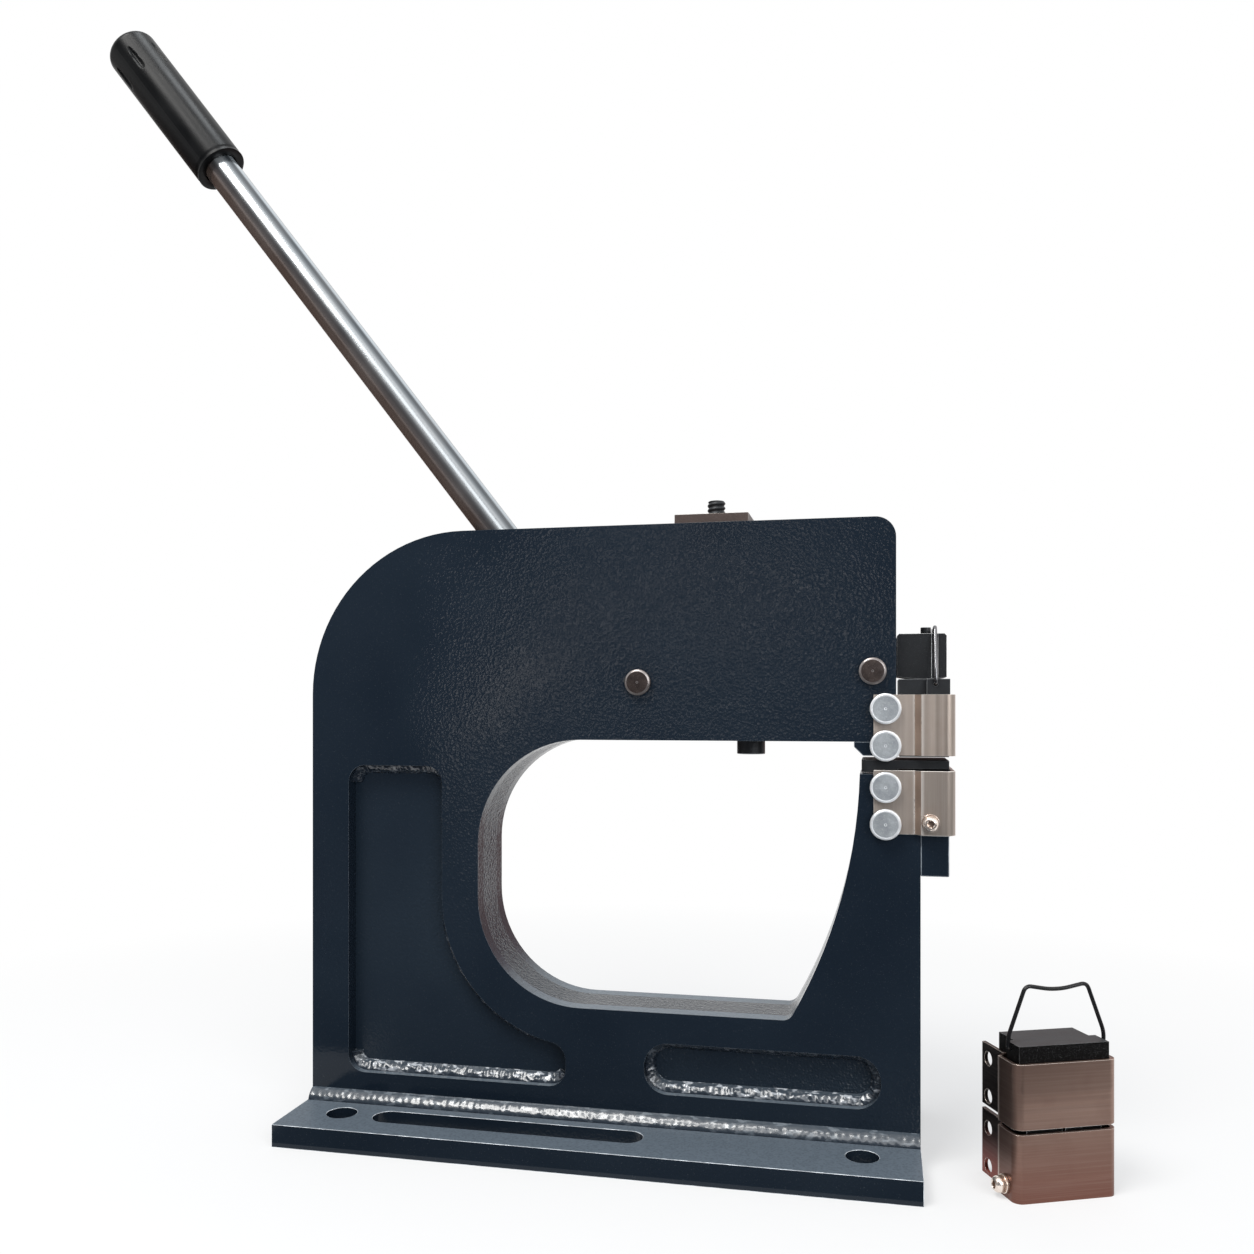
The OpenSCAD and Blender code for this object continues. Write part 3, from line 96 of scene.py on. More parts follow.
class Bench:
    """A node tree, of a finish or of a shape, built one node at a time."""

    def __init__(self, tree):
        self.tree = tree

    def add(self, kind, settings=None, sockets=None, out=0):
        node = self.tree.nodes.new(kind)
        for key, value in (settings or {}).items():
            if key == "stops":
                ramp = node.color_ramp.elements
                while len(ramp) < len(value):
                    ramp.new(0.5)
                for stop, (place, shade) in zip(ramp, value):
                    stop.position = place
                    stop.color = shade if len(shade) == 4 else (*shade, 1)
            else:
                setattr(node, key, value)
        for key, value in (sockets or {}).items():
            socket = node.inputs[key]
            if isinstance(value, Wire):
                self.tree.links.new(value.socket, socket)
            elif socket.type == "RGBA" and len(value) == 3:
                socket.default_value = (*value, 1)
            else:
                socket.default_value = value
        return Wire(self, node.outputs[out]) if node.outputs else None

    def value(self, kind, out):
        return self.add(kind, out=out)

    def shape(self, kind, sockets=None, out=0, **settings):
        """A node that works on shapes."""
        return self.add("GeometryNode" + kind, settings, sockets, out)

    def mix(self, mask, first, second, mode="MIX"):
        """One colour over another by a mask."""
        return self.add("ShaderNodeMix", {"data_type": "RGBA", "blend_type": mode},
                        {0: mask, 6: first, 7: second}, out=2)

    def grow(self, wire, low, high, start=0.0, end=1.0):
        """A value led from one range to another, and kept inside it."""
        return self.add("ShaderNodeMapRange", {"clamp": True},
                        {0: wire, 1: low, 2: high, 3: start, 4: end})

    def vector(self, operation, *parts):
        return self.add("ShaderNodeVectorMath", {"operation": operation}, dict(enumerate(parts)))

    def part(self, spot, axis):
        """One of the three numbers of a place."""
        return self.add("ShaderNodeSeparateXYZ", None, {0: spot}, out="XYZ".index(axis))

    def noise(self, spot, scale, detail=2.0, roughness=0.5, out=0):
        return self.add("ShaderNodeTexNoise", None, {
            "Vector": spot, "Scale": scale, "Detail": detail, "Roughness": roughness}, out=out)

    def mark(self, name):
        """A mark that the mesh carries on its faces, such as its broken edges."""
        return self.add("ShaderNodeAttribute", {"attribute_name": name}, out=2)

    def bump(self, strength, depth, height):
        return self.add("ShaderNodeBump", None,
                        {"Strength": strength, "Distance": depth, "Height": height})

    def show(self, surface):
        self.add("ShaderNodeOutputMaterial", None, {"Surface": surface})

    def coated(self, sockets):
        """Ends a finish with its one layered surface."""
        self.show(self.add("ShaderNodeBsdfPrincipled", None, sockets))


def empty_tree(owner):
    owner.use_nodes = True
    owner.node_tree.nodes.clear()
    return Bench(owner.node_tree)


def new_finish(name):
    """A new material, the bench for its nodes, and the place on the piece."""
    material = bpy.data.materials.new(name)
    bench = empty_tree(material)
    return material, bench, bench.value("ShaderNodeTexCoord", "Object")


def seen_white(bench):
    """1 for what the camera or a reflection sees of the background, 0 for its light."""
    looks = [bench.value("ShaderNodeLightPath", name)
             for name in ("Is Camera Ray", "Is Glossy Ray", "Is Transmission Ray")]
    total = looks[0] + looks[1] + looks[2]
    return total.maths("MINIMUM", total, 1.0)


ROOM_LIGHT = 0.62
world = bpy.data.worlds.new("studio")
bpy.context.scene.world = world
room = empty_tree(world)
sky = room.add("ShaderNodeBackground", None,
               {"Color": (0.93, 0.96, 1.0), "Strength": ROOM_LIGHT})
white = room.add("ShaderNodeBackground", None, {"Color": (1, 1, 1), "Strength": 1.0})
both = room.add("ShaderNodeMixShader", None, {0: seen_white(room), 1: sky, 2: white})
room.add("ShaderNodeOutputWorld", None, {"Surface": both})

FLOOR_HALF = 6.0
FLOOR_PALE = (0.765, 0.77, 0.775)
# the table is this white near the tool, and turns white between two distances from it
WHITE_NEAR, FADE_START, FADE_END = 0.54, 0.28, 0.95


def new_object(name, data):
    thing = bpy.data.objects.new(name, data)
    bpy.context.scene.collection.objects.link(thing)
    return thing


def flat_sheet(name, corners, finish):
    mesh = bpy.data.meshes.new(name)
    mesh.from_pydata(corners, [], [tuple(range(len(corners)))])
    mesh.materials.append(finish)
    sheet = new_object(name, mesh)
    return sheet


table_top, top, spot = new_finish("table_top")
far = top.add("ShaderNodeVectorMath", {"operation": "LENGTH"},
              {0: top.vector("MULTIPLY", spot, (1.0, 1.0, 0.0))}, out=1)
cloth = top.add("ShaderNodeBsdfDiffuse", None, {
    "Color": top.mix(top.noise(spot, 6.0), FLOOR_PALE, tuple(1.02 * c for c in FLOOR_PALE))})
glow = top.add("ShaderNodeEmission", None, {"Color": (1, 1, 1), "Strength": 1.0})
whiten = seen_white(top) * top.grow(far, FADE_START, FADE_END, WHITE_NEAR, 1.0)
top.show(top.add("ShaderNodeMixShader", None, {0: whiten, 1: cloth, 2: glow}))
flat_sheet("table", [(-FLOOR_HALF, -FLOOR_HALF, 0), (FLOOR_HALF, -FLOOR_HALF, 0),
                     (FLOOR_HALF, FLOOR_HALF, 0), (-FLOOR_HALF, FLOOR_HALF, 0)], table_top)


def card(name, place, aim, size, shade, upright=None):
    """A card that only reflections see, facing its aim."""
    finish = bpy.data.materials.new(name)
    paper = empty_tree(finish)
    paper.show(paper.add("ShaderNodeEmission", None, {"Color": shade, "Strength": 1.0}))
    ahead = (Vector(aim) - Vector(place)).normalized()
    tall = Vector(upright) if upright else (ahead.to_track_quat("-Z", "Y") @ Vector((0, 1, 0)))
    wide = ahead.cross(tall)
    corners = [Vector(place) + wide * (x * size[0] / 2) + tall * (y * size[1] / 2)
               for x, y in ((-1, -1), (1, -1), (1, 1), (-1, 1))]
    sheet = flat_sheet(name, corners, finish)
    for sight in ("camera", "diffuse", "shadow", "transmission"):
        setattr(sheet, "visible_" + sight, False)


card("dark_front", (0.0, -3.2, 1.6), (0.0, -3.0, 1.6), (9.0, 5.6), (0.085, 0.09, 0.105))
card("dark_front_floor", (0.2, -1.72, 0.004), (0.2, -1.72, 1.0), (4.6, 3.1), (0.06, 0.062, 0.07))
card("dark_by_base", (0.0, -0.13, 0.003), (0.0, -0.13, 1.0), (0.47, 0.085), (0.05, 0.05, 0.055))
card("warm_low_back", (0.62, 1.15, 0.25), (0.0, 0.0, 0.2), (1.0, 0.7), (0.45, 0.31, 0.30))
card("warm_back_floor", (0.62, 0.72, 0.003), (0.62, 0.72, 1.0), (1.0, 0.9), (0.45, 0.31, 0.30))
card("brown_left_floor", (-1.15, -0.75, 0.03), (-1.15, -0.75, 1.0), (1.3, 1.9), (0.075, 0.052, 0.045))


LEVER_FOOT = Vector((0.01403, 0, 0.3163))
UP_ROD = Vector((-0.6157, 0, 0.788))
SIDE_ROD = Vector((0.788, 0, 0.6157))


def strip_along_rod(name, turn, apart, up, size, shade):
    """A card parallel to the lever's rod, so that the rod carries its band from end to end."""
    a = math.radians(turn)
    out = Vector((0, -math.cos(a), 0)) + SIDE_ROD * math.sin(a)
    foot = LEVER_FOOT + UP_ROD * up
    card(name, foot + out * apart, foot, size, shade, UP_ROD)


strip_along_rod("band_on_rod", 37, 1.3, 0.85, (0.44, 2.2), (2.45, 2.5, 2.55))
strip_along_rod("brown_left_of_rod", -104, 0.8, 0.6, (1.7, 1.7), (0.10, 0.07, 0.06))


def area_light(name, place, aim, size, watts, shade=(1, 1, 1), roll=0.0):
    data = bpy.data.lights.new(name, "AREA")
    data.shape = "RECTANGLE"
    data.size, data.size_y = size
    data.energy = watts
    data.color = shade
    lamp = new_object(name, data)
    turn = (Vector(aim) - Vector(place)).to_track_quat("-Z", "Y").to_matrix().to_4x4()
    lamp.matrix_world = Matrix.Translation(Vector(place)) @ turn @ Matrix.Rotation(roll, 4, "Z")
    return lamp


area_light("key", (-0.62, -1.15, 2.3), (0.0, 0.0, 0.25), (1.05, 1.05), 46, (1.0, 0.985, 0.96))
area_light("fill", (1.5, -1.9, 1.1), (0.05, 0.0, 0.25), (1.4, 1.4), 30, (0.96, 0.98, 1.0))
sheen_takers = bpy.data.collections.new("enamel_under_the_sheen")
for lamp in (area_light("sheen", (-0.44, -1.62, 0.50), (0.0, 0.0, 0.36), (0.05, 0.80), 0.78,
                        (1.0, 0.96, 0.94), math.radians(-36)),
             area_light("glint", (0.035, -1.60, 0.48), (0.06, 0.0, 0.36), (0.10, 0.24), 0.34,
                        (1.0, 0.96, 0.94))):
    lamp.light_linking.receiver_collection = sheen_takers

camera_data = bpy.data.cameras.new("camera")
camera_data.lens = 32.7
camera_data.sensor_width = 36.0
camera_data.shift_y = 0.0622
camera = new_object("camera", camera_data)
camera.location = (0.196, -0.8175, 0.312)
camera.rotation_euler = (math.radians(90), 0.0, math.radians(12.5))
bpy.context.scene.camera = camera
bpy.context.scene.view_settings.view_transform = "Standard"


# ---- Welded frame ----
# Three thick steel plates and the base, cut to shape, welded together and sprayed with a thick
# navy enamel that dries like fine leather. Its edges are broken by hand; the enamel there is painted
# lighter, partly as wear and partly as a painted highlight, and what lies level is painted lighter,
# a painted light from above. The middle plate closes the windows and leaves the channel for the lever.

MM = 0.001
HALF_W = 27 * MM
CORE_HALF = 15 * MM
BASE_TOP = 16 * MM
ARM_TOP = 440 * MM
NAVY = (0.0063, 0.0109, 0.0178)
NAVY_PALE = (0.0096, 0.0152, 0.0232)
# the next two shades are painted on the broken edges, partly as wear and partly as a painted highlight,
# and on what lies level, a painted light from above
NAVY_WORN_AND_LIT = (0.23, 0.26, 0.29)
NAVY_LIT_TOP = (0.110, 0.138, 0.168)


def plain_mesh(holder):
    """The evaluated object as a plain mesh, with nothing live left on it."""
    ready = bpy.context.evaluated_depsgraph_get()
    ready.update()
    mesh = bpy.data.meshes.new_from_object(holder.evaluated_get(ready), depsgraph=ready)
    holder.modifiers.clear()
    holder.data = mesh
    return holder


def placed(name, shape, finish, smooth=40):
    """A bmesh as a new object at the origin, smooth but for its sharp edges."""
    mesh = bpy.data.meshes.new(name)
    shape.to_mesh(mesh)
    shape.free()
    mesh.materials.clear()
    mesh.materials.append(finish)
    mesh.shade_smooth()
    mesh.set_sharp_from_angle(angle=math.radians(smooth))
    return new_object(name, mesh)


SHARP, FLAT, TOUCHING = math.radians(28), math.radians(0.4), 0.004 * MM


def eased(node, width, finish, wanted=None):
    """A solid's own mesh with its triangles joined into faces and its edges broken."""
    shape = bmesh.new()
    shape.from_mesh(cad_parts[node].data)
    for face in shape.faces:
        face.material_index = 0
    bmesh.ops.remove_doubles(shape, verts=shape.verts, dist=TOUCHING)
    bmesh.ops.dissolve_limit(shape, angle_limit=FLAT, verts=shape.verts, edges=shape.edges)
    mark = shape.faces.layers.float.new("edge")
    level = shape.faces.layers.float.new("level")
    # level says how much a face looks up; the finishes paint such faces lighter, a painted light from
    # above
    for face in shape.faces:
        face[level] = max(0.0, face.normal.z) ** 3
    sharp = [e for e in shape.edges if len(e.link_faces) == 2 and e.calc_face_angle(0.0) > SHARP
             and (wanted is None or wanted(*[v.co for v in e.verts]))]
    made = bmesh.ops.bevel(shape, geom=sharp, offset=width, offset_type="OFFSET", segments=2,
                           profile=0.5, affect="EDGES", clamp_overlap=True)
    for face in made["faces"]:
        face[mark] = 1.0
        face[level] = 0.0
    piece = placed(node + "_finished", shape, finish, 50)
    even = piece.modifiers.new("even", "WEIGHTED_NORMAL")
    even.keep_sharp = True
    even.weight = 80
    return plain_mesh(piece)


def seat_on(piece, body, slot, *nodes):
    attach(piece, body)
    if nodes:
        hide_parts(*nodes)
    return piece


def finished(node, width, finish, body="frame", slot="black_oxide", wanted=None):
    """A node's own solid with its edges broken, seated in the node's place."""
    return seat_on(eased(node, width, finish, wanted), body, slot, node)


def enamel(name, rough=0.085, leather=1.0, base=NAVY, lift=NAVY_PALE, worn=NAVY_WORN_AND_LIT):
    """Thick enamel with a leather skin: its broken edges painted lighter, partly as wear and partly as a
    painted highlight, and what lies level painted lighter, a painted light from above.
    """
    material, coat, spot = new_finish(name)
    drift = coat.noise(spot, 260.0, out=1)
    bent = coat.vector("MULTIPLY_ADD", drift, (0.0034, 0.0034, 0.0034), spot)
    cells = coat.add("ShaderNodeTexVoronoi", {"feature": "SMOOTH_F1"},
                     {"Vector": bent, "Scale": 500.0, "Smoothness": 0.35})
    fine = coat.noise(spot, 850.0, 3.0, 0.6)
    coarse = coat.noise(spot, 150.0)
    cloud = coat.noise(spot, 8.0)
    patches = coat.grow(cloud, 0.36, 0.68)
    # the skin is smoother over the rear column than over the arm
    along = coat.part(spot, "X") + 0.10 * (cloud - 0.5)
    heavy = coat.grow(along, -0.19, -0.03, 0.25, 1.0) * leather
    skin = (cells * (0.26 + 0.84 * patches) + fine * 0.22 + coarse * 0.24) * heavy
    edge_band = coat.mark("edge")
    level = coat.mark("level")
    scuff = coat.grow(coat.noise(spot, 120.0, 4.0), 0.42, 0.62)
    dust = coat.grow(coat.noise(spot, 1500.0), 0.66, 0.74)
    top_light_share = 0.62 + 0.38 * cells.maths("MINIMUM", cells * 1.6, 1.0)
    shade = coat.mix(patches, base, lift)
    # painted light: what lies level is lighter, as if lit from above, broken up by the leather cells
    shade = coat.mix(level * top_light_share, shade, NAVY_LIT_TOP)
    # broken edges lighter: partly wear, partly a painted highlight
    shade = coat.mix(edge_band * (0.50 + 0.48 * scuff), shade, worn)
    shade = coat.mix(dust * 0.22, shade, (0.10, 0.11, 0.12))
    coat.coated({"Base Color": shade, "Roughness": rough + 0.10 * dust + 0.26 * level,
                 "Specular IOR Level": 0.24, "Normal": coat.bump(1.0, 0.25 * MM, skin)})
    return material


def off_the_core(a, b):
    """True for an edge of a side plate that doesn't lie against the core plate."""
    on_the_side = min(abs(a.y), abs(b.y)) > HALF_W - 0.1 * MM
    return on_the_side or min(a.z, b.z) > ARM_TOP - 0.1 * MM


frame_enamel = enamel("frame_enamel")
for side in ("front", "back"):
    plate = finished("side_plate_" + side, 1.1 * MM, frame_enamel, slot="paint", wanted=off_the_core)
    sheen_takers.objects.link(plate)

# the base's broken edges are painted nearly white: a painted highlight, partly wear
base_enamel = enamel("base_enamel", 0.20, 0.8, worn=(0.80, 0.85, 0.90))
finished("base_plate", 1.3 * MM, base_enamel, slot="paint")
for node in ("nose_block", "anvil_block"):
    finished(node, 0.7 * MM, frame_enamel, slot="paint")
# the core plate gets a lighter copy of the frame enamel: painted light on the window floors
core_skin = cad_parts["core_plate"].data.materials
core_skin.clear()
core_skin.append(enamel("window_enamel_painted_lighter", 0.17, 3.2, (0.0090, 0.0148, 0.0232), (0.0136, 0.0210, 0.0305)))


# ---- Weld beads ----
# Fillet welds laid by hand along the foot of the frame and round the windows, then sprayed over
# with the same enamel, which runs smooth and wet on them. Each bead is a three-sided run of
# weld metal in the corner between two plates, with ripples and lumps along it.

def shape_recipe(name, inputs):
    """A Geometry Nodes tree with its named inputs, and the wire of each."""
    tree = bpy.data.node_groups.new(name, "GeometryNodeTree")
    tree.interface.new_socket("Geometry", in_out="INPUT", socket_type="NodeSocketGeometry")
    for label, kind in inputs.items():
        tree.interface.new_socket(label, in_out="INPUT", socket_type="NodeSocket" + kind)
    tree.interface.new_socket("Geometry", in_out="OUTPUT", socket_type="NodeSocketGeometry")
    bench = Bench(tree)
    given = tree.nodes.new("NodeGroupInput")
    wires = {s.name: Wire(bench, s) for s in given.outputs if s.name}
    return bench, wires


def end_recipe(bench, geometry, finish):
    real = bench.shape("RealizeInstances", {0: geometry})
    done = bench.shape("SetMaterial", {"Geometry": real, "Material": finish})
    bench.add("NodeGroupOutput", None, {0: done})


def run_recipe(bench, name, mesh, sizes):
    """Runs a recipe on a mesh and leaves the result as a plain mesh object."""
    holder = new_object(name, mesh)
    step = holder.modifiers.new("recipe", "NODES")
    step.node_group = bench.tree
    for item in bench.tree.interface.items_tree:
        if item.in_out == "INPUT" and item.name in sizes:
            step[item.identifier] = sizes[item.name]
    return plain_mesh(holder)


def curve_through(bench, mesh, group=0):
    """Curves through the points of a mesh in their order, one for each group."""
    dots = bench.shape("MeshToPoints", {"Mesh": mesh}, mode="VERTICES")
    return bench.shape("PointsToCurves", {
        "Points": dots, "Curve Group ID": group, "Weight": bench.shape("InputIndex")})


def store(bench, geometry, name, value):
    return bench.shape("StoreNamedAttribute", {"Geometry": geometry, "Name": name, "Value": value},
                       data_type="FLOAT", domain="POINT")


def stored(bench, name, kind="FLOAT"):
    return bench.shape("InputNamedAttribute", {"Name": name}, data_type=kind)


WELD_SIDES = 12
weld, given = shape_recipe("weld_bead", {
    "Leg": "Float", "Ripple pitch": "Float", "Ripple height": "Float", "Lump height": "Float",
    "Seed": "Float", "Finish": "Material"})
run = curve_through(weld, given["Geometry"], stored(weld, "bead", "INT"))
run = weld.shape("ResampleCurve", {"Curve": run, "Length": 0.7 * MM}, mode="LENGTH")
outward = stored(weld, "outward", "FLOAT_VECTOR")
run = weld.shape("SetCurveNormal", {"Curve": run, "Normal": outward}, mode="FREE")
run = store(weld, run, "along", weld.shape("SplineParameter", out="Length"))
# the bead's section: a slightly full face from leg to leg, closed through the corner
ring = weld.shape("MeshLine", {"Count": WELD_SIDES + 2, "Offset": (0.0, 0.0, 0.001)})
ring = curve_through(weld, ring)
ring = weld.shape("SetSplineCyclic", {"Geometry": ring, "Cyclic": True})
order = weld.shape("InputIndex")
angle = order.maths("MINIMUM", order / float(WELD_SIDES), 1.0) * (math.pi / 2)
on_face = 1 - (order > WELD_SIDES + 0.5)
reach = given["Leg"] * (angle.maths("COSINE", angle, 0.0) ** 1.45) * on_face
rise = given["Leg"] * (angle.maths("SINE", angle, 0.0) ** 1.45) * on_face
section = weld.add("ShaderNodeCombineXYZ", None, {"X": reach, "Y": rise, "Z": 0.0})
ring = weld.shape("SetPosition", {"Geometry": ring, "Position": section})
ring = store(weld, ring, "bare_face", (angle * 2).maths("SINE", angle * 2, 0.0) * on_face)
bead = weld.shape("CurveToMesh", {"Curve": run, "Profile Curve": ring, "Fill Caps": True})
# ripples across the bead and lumps along it, both out of its face
bare = stored(weld, "bare_face")
shifted = weld.vector("ADD", weld.shape("InputPosition"), given["Seed"])
wander = weld.noise(shifted, 130.0)
lumps = weld.noise(shifted, 190.0)
phase = stored(weld, "along") / given["Ripple pitch"] * (2 * math.pi) + bare * -1.6 + wander * 9.0
ripple = phase.maths("SINE", phase, 0.0)
lift = bare * (ripple * given["Ripple height"] + (lumps - 0.5) * 2 * given["Lump height"])
normal = weld.shape("InputNormal")
push = weld.add("ShaderNodeVectorMath", {"operation": "SCALE"}, {"Vector": normal, "Scale": lift})
bead = weld.shape("SetPosition", {"Geometry": bead, "Offset": push})
# level: how much the bead looks up, which the wet enamel paints lighter, a painted light from above
facing_up = weld.part(normal, "Z")
bead = store(weld, bead, "level", facing_up.maths("MAXIMUM", facing_up, 0.0) ** 1.5)
bead = weld.shape("SetShadeSmooth", {"Geometry": bead, "Shade Smooth": True})
end_recipe(weld, bead, given["Finish"])


def bead_path(name, runs):
    """Points of several beads, each a list of places with the outward side of its wall."""
    mesh = bpy.data.meshes.new(name)
    mesh.from_pydata([p for line, side in runs for p in line], [], [])
    number = mesh.attributes.new("bead", "INT", "POINT")
    number.data.foreach_set("value", [i for i, (line, side) in enumerate(runs) for p in line])
    outward = mesh.attributes.new("outward", "FLOAT_VECTOR", "POINT")
    outward.data.foreach_set("vector", [c for line, side in runs for p in line for c in side])
    return mesh


def arc_points(x, z, r, start, end, y):
    count = max(3, int(abs(end - start) / 4))
    turns = [math.radians(start + (end - start) * i / count) for i in range(count + 1)]
    return [(x + r * math.cos(a), y, z + r * math.sin(a)) for a in turns]


def bends(r, y, *turns):
    """Quarter turns one after another, each from its centre and the angle it starts at."""
    return [p for x, z, start in turns for p in arc_points(x, z, r, start, start - 90, y)]


def wet_enamel(name, relief, base, lift):
    """Enamel that has run smooth over weld metal, with glints painted lighter on its ridges and the
    faces that look up painted lighter: painted highlights.
    """
    material, coat, spot = new_finish(name)
    spot = coat.vector("MULTIPLY", spot, (0.45, 1.0, 1.0))
    runs = coat.noise(spot, 300.0)
    blobs = coat.noise(spot, 110.0)
    glint = coat.grow(runs, 0.55, 0.64)
    level = coat.mark("level")
    # painted light: faces that look up are lighter
    shade_lit_on_top = coat.mix(level * 0.5, base, NAVY_LIT_TOP)
    # the lift shade is painted in where the glints are: painted glints, mostly on faces that look up
    coat.coated({
        "Base Color": coat.mix(glint * (0.08 + 0.92 * level), shade_lit_on_top, lift),
        "Roughness": 0.10 + 0.10 * blobs + 0.1 * level, "Specular IOR Level": 0.6,
        "Coat Roughness": 0.04, "Coat Weight": 0.4 + 0.5 * glint,
        "Normal": coat.bump(relief, 0.7 * MM, runs * 0.5 + blobs)})
    return material


def weld_along(name, node, runs, finish, leg, pitch, ripple, lump, seed):
    """Beads along several runs, sized in millimetres, seated in the node's place."""
    beads = run_recipe(weld, name + "_beads", bead_path(name + "_paths", runs), {
        "Leg": leg * MM, "Ripple pitch": pitch * MM, "Ripple height": ripple * MM,
        "Lump height": lump * MM, "Seed": seed, "Finish": finish})
    seat_on(beads, "frame", "paint", node)


FOOT_END = 222.5 * MM
front_run = [(x, -HALF_W, BASE_TOP) for x in (FOOT_END, -FOOT_END)]
back_run = [(x, HALF_W, BASE_TOP) for x in (-FOOT_END, FOOT_END)]
# the last shade is the colour of the painted glints
foot_enamel = wet_enamel("foot_enamel", 0.40, NAVY, (0.14, 0.165, 0.19))
weld_along("foot", "base_welds", [(front_run, (0, -1, 0)), (back_run, (0, 1, 0))], foot_enamel,
           leg=7.8, pitch=5.0, ripple=0.05, lump=0.38, seed=0.31)

# the rear window's edge and its bow round the throat, then the slot over the base
SILL = 37 * MM
REAR_R, SLOT_R, BAND_R = 13 * MM, 17 * MM, 105 * MM
rear_low, slot_low = SILL + REAR_R, SILL + SLOT_R
rear_left, rear_high = -193.5 * MM + REAR_R, 267 * MM - REAR_R
slot_left, slot_right, slot_high = 33 * MM + SLOT_R, 197 * MM - SLOT_R, 73 * MM - SLOT_R
window_runs = []
for s in (-1, 1):
    y = s * CORE_HALF
    tip = arc_points(-24.5 * MM - REAR_R, rear_low, REAR_R, 330, 270, y)
    low = tip + bends(REAR_R, y, (rear_left, rear_low, 270))
    high = bends(REAR_R, y, (rear_left, rear_high, 180), (-119 * MM - REAR_R, rear_high, 90))
    bow = arc_points(-14 * MM, 171.5 * MM, BAND_R, 190, 251, y)
    slot = bends(SLOT_R, y, (slot_right, slot_low, 360), (slot_left, slot_low, 270),
                 (slot_left, slot_high, 180), (slot_right, slot_high, 90))
    slot.append(slot[0])
    for line in (low, high, bow, slot):
        window_runs.append((line if s < 0 else line[::-1], (0, s, 0)))
# the last shade is the colour of the painted glints, nearly white
bead_enamel = wet_enamel("bead_enamel", 0.60, NAVY, (0.52, 0.55, 0.59))
weld_along("window", "window_welds", window_runs, bead_enamel,
           leg=6.6, pitch=4.4, ripple=0.14, lump=1.3, seed=2.7)


# ---- Pivot pins and their rings ----
# Turned steel pins with flat heads cross the arm: one carries the lever, the other the rocker.
# The heads are blued dark brown, with a painted highlight on the chamfer, and a centre punch
# mark where they were held in the lathe. Open spring rings keep them at the back.

NARROW_BAND = 1.6 * MM


def revolved(name, profile, place, axis, finish, sides=64, smooth=32):
    """A turned piece from radius and height pairs in millimetres along an axis. A third word
    makes a ring six-sided, a radius of 0 closes an end, and narrow bands are marked as edges,
    which the finishes paint bright, partly as wear and partly as a painted highlight."""
    shape = bmesh.new()
    turn = Vector(axis).to_track_quat("Z", "Y").to_matrix().to_4x4()
    spot = Matrix.Translation(Vector(place)) @ turn
    mark = shape.faces.layers.float.new("edge")
    rings = []
    for radius, height, *six in profile:
        ring = []
        for i in range(sides if radius else 1):
            a = 2 * math.pi * i / sides
            r = radius * MM
            if six:
                r = r * math.cos(math.pi / 6) / math.cos(a % (math.pi / 3) - math.pi / 6)
            ring.append(shape.verts.new(spot @ Vector((r * math.cos(a), r * math.sin(a), height * MM))))
        rings.append(ring)
    for low, high in zip(rings, rings[1:]):
        for i in range(sides):
            j = (i + 1) % sides
            if len(low) == 1:
                shape.faces.new((low[0], high[j], high[i]))
            elif len(high) == 1:
                shape.faces.new((low[i], low[j], high[0]))
            else:
                face = shape.faces.new((low[i], low[j], high[j], high[i]))
                face[mark] = float((low[0].co - high[0].co).length < NARROW_BAND)
    bmesh.ops.recalc_face_normals(shape, faces=shape.faces)
    return placed(name, shape, finish, smooth)


def worn_metal(name, base, edge, rough, metal=1.0, streak=(1.0, 1.0, 1.0), speckle=0.25,
               dark=None, bump=0.12, fine=1400.0, lit_top=None, gloss=0.5):
    """Bare or blued metal: drawn or ground streaks, fine speckle, broken edges painted bright,
    partly as wear and partly as a painted highlight, and, where a top shade is given, what lies
    level painted lighter, a painted light from above.
    """
    material, skin, spot = new_finish(name)
    lines = skin.noise(skin.vector("MULTIPLY", spot, streak), fine, 3.0, 0.6)
    cloud = skin.noise(spot, 95.0, 4.0, 0.6)
    dots = skin.noise(spot, 1900.0)
    edge_band = skin.mark("edge")
    low = dark or tuple(0.72 * c for c in base)
    shade = skin.mix(skin.grow(cloud, 0.38, 0.64), base, low)
    shade = skin.mix(skin.grow(lines, 0.35, 0.7) * 0.4, shade, low)
    shade = skin.mix(skin.grow(dots, 0.60, 0.72) * speckle, shade, edge)
    # painted light: what lies level is lighter, as if lit from above
    if lit_top:
        top_light_share = skin.mark("level") * skin.grow(cloud, 0.30, 0.60, 0.75, 1.0)
        shade = skin.mix(top_light_share, shade, lit_top)
    # broken edges bright: partly wear, partly a painted highlight
    shade = skin.mix(edge_band * skin.grow(cloud, 0.30, 0.55, 0.45, 0.95), shade, edge)
    skin.coated({"Base Color": shade, "Metallic": metal, "Specular IOR Level": gloss,
                 "Roughness": rough + 0.14 * cloud - 0.08 * edge_band,
                 "Normal": skin.bump(bump, 0.3 * MM, lines + dots * 0.4)})
    return material


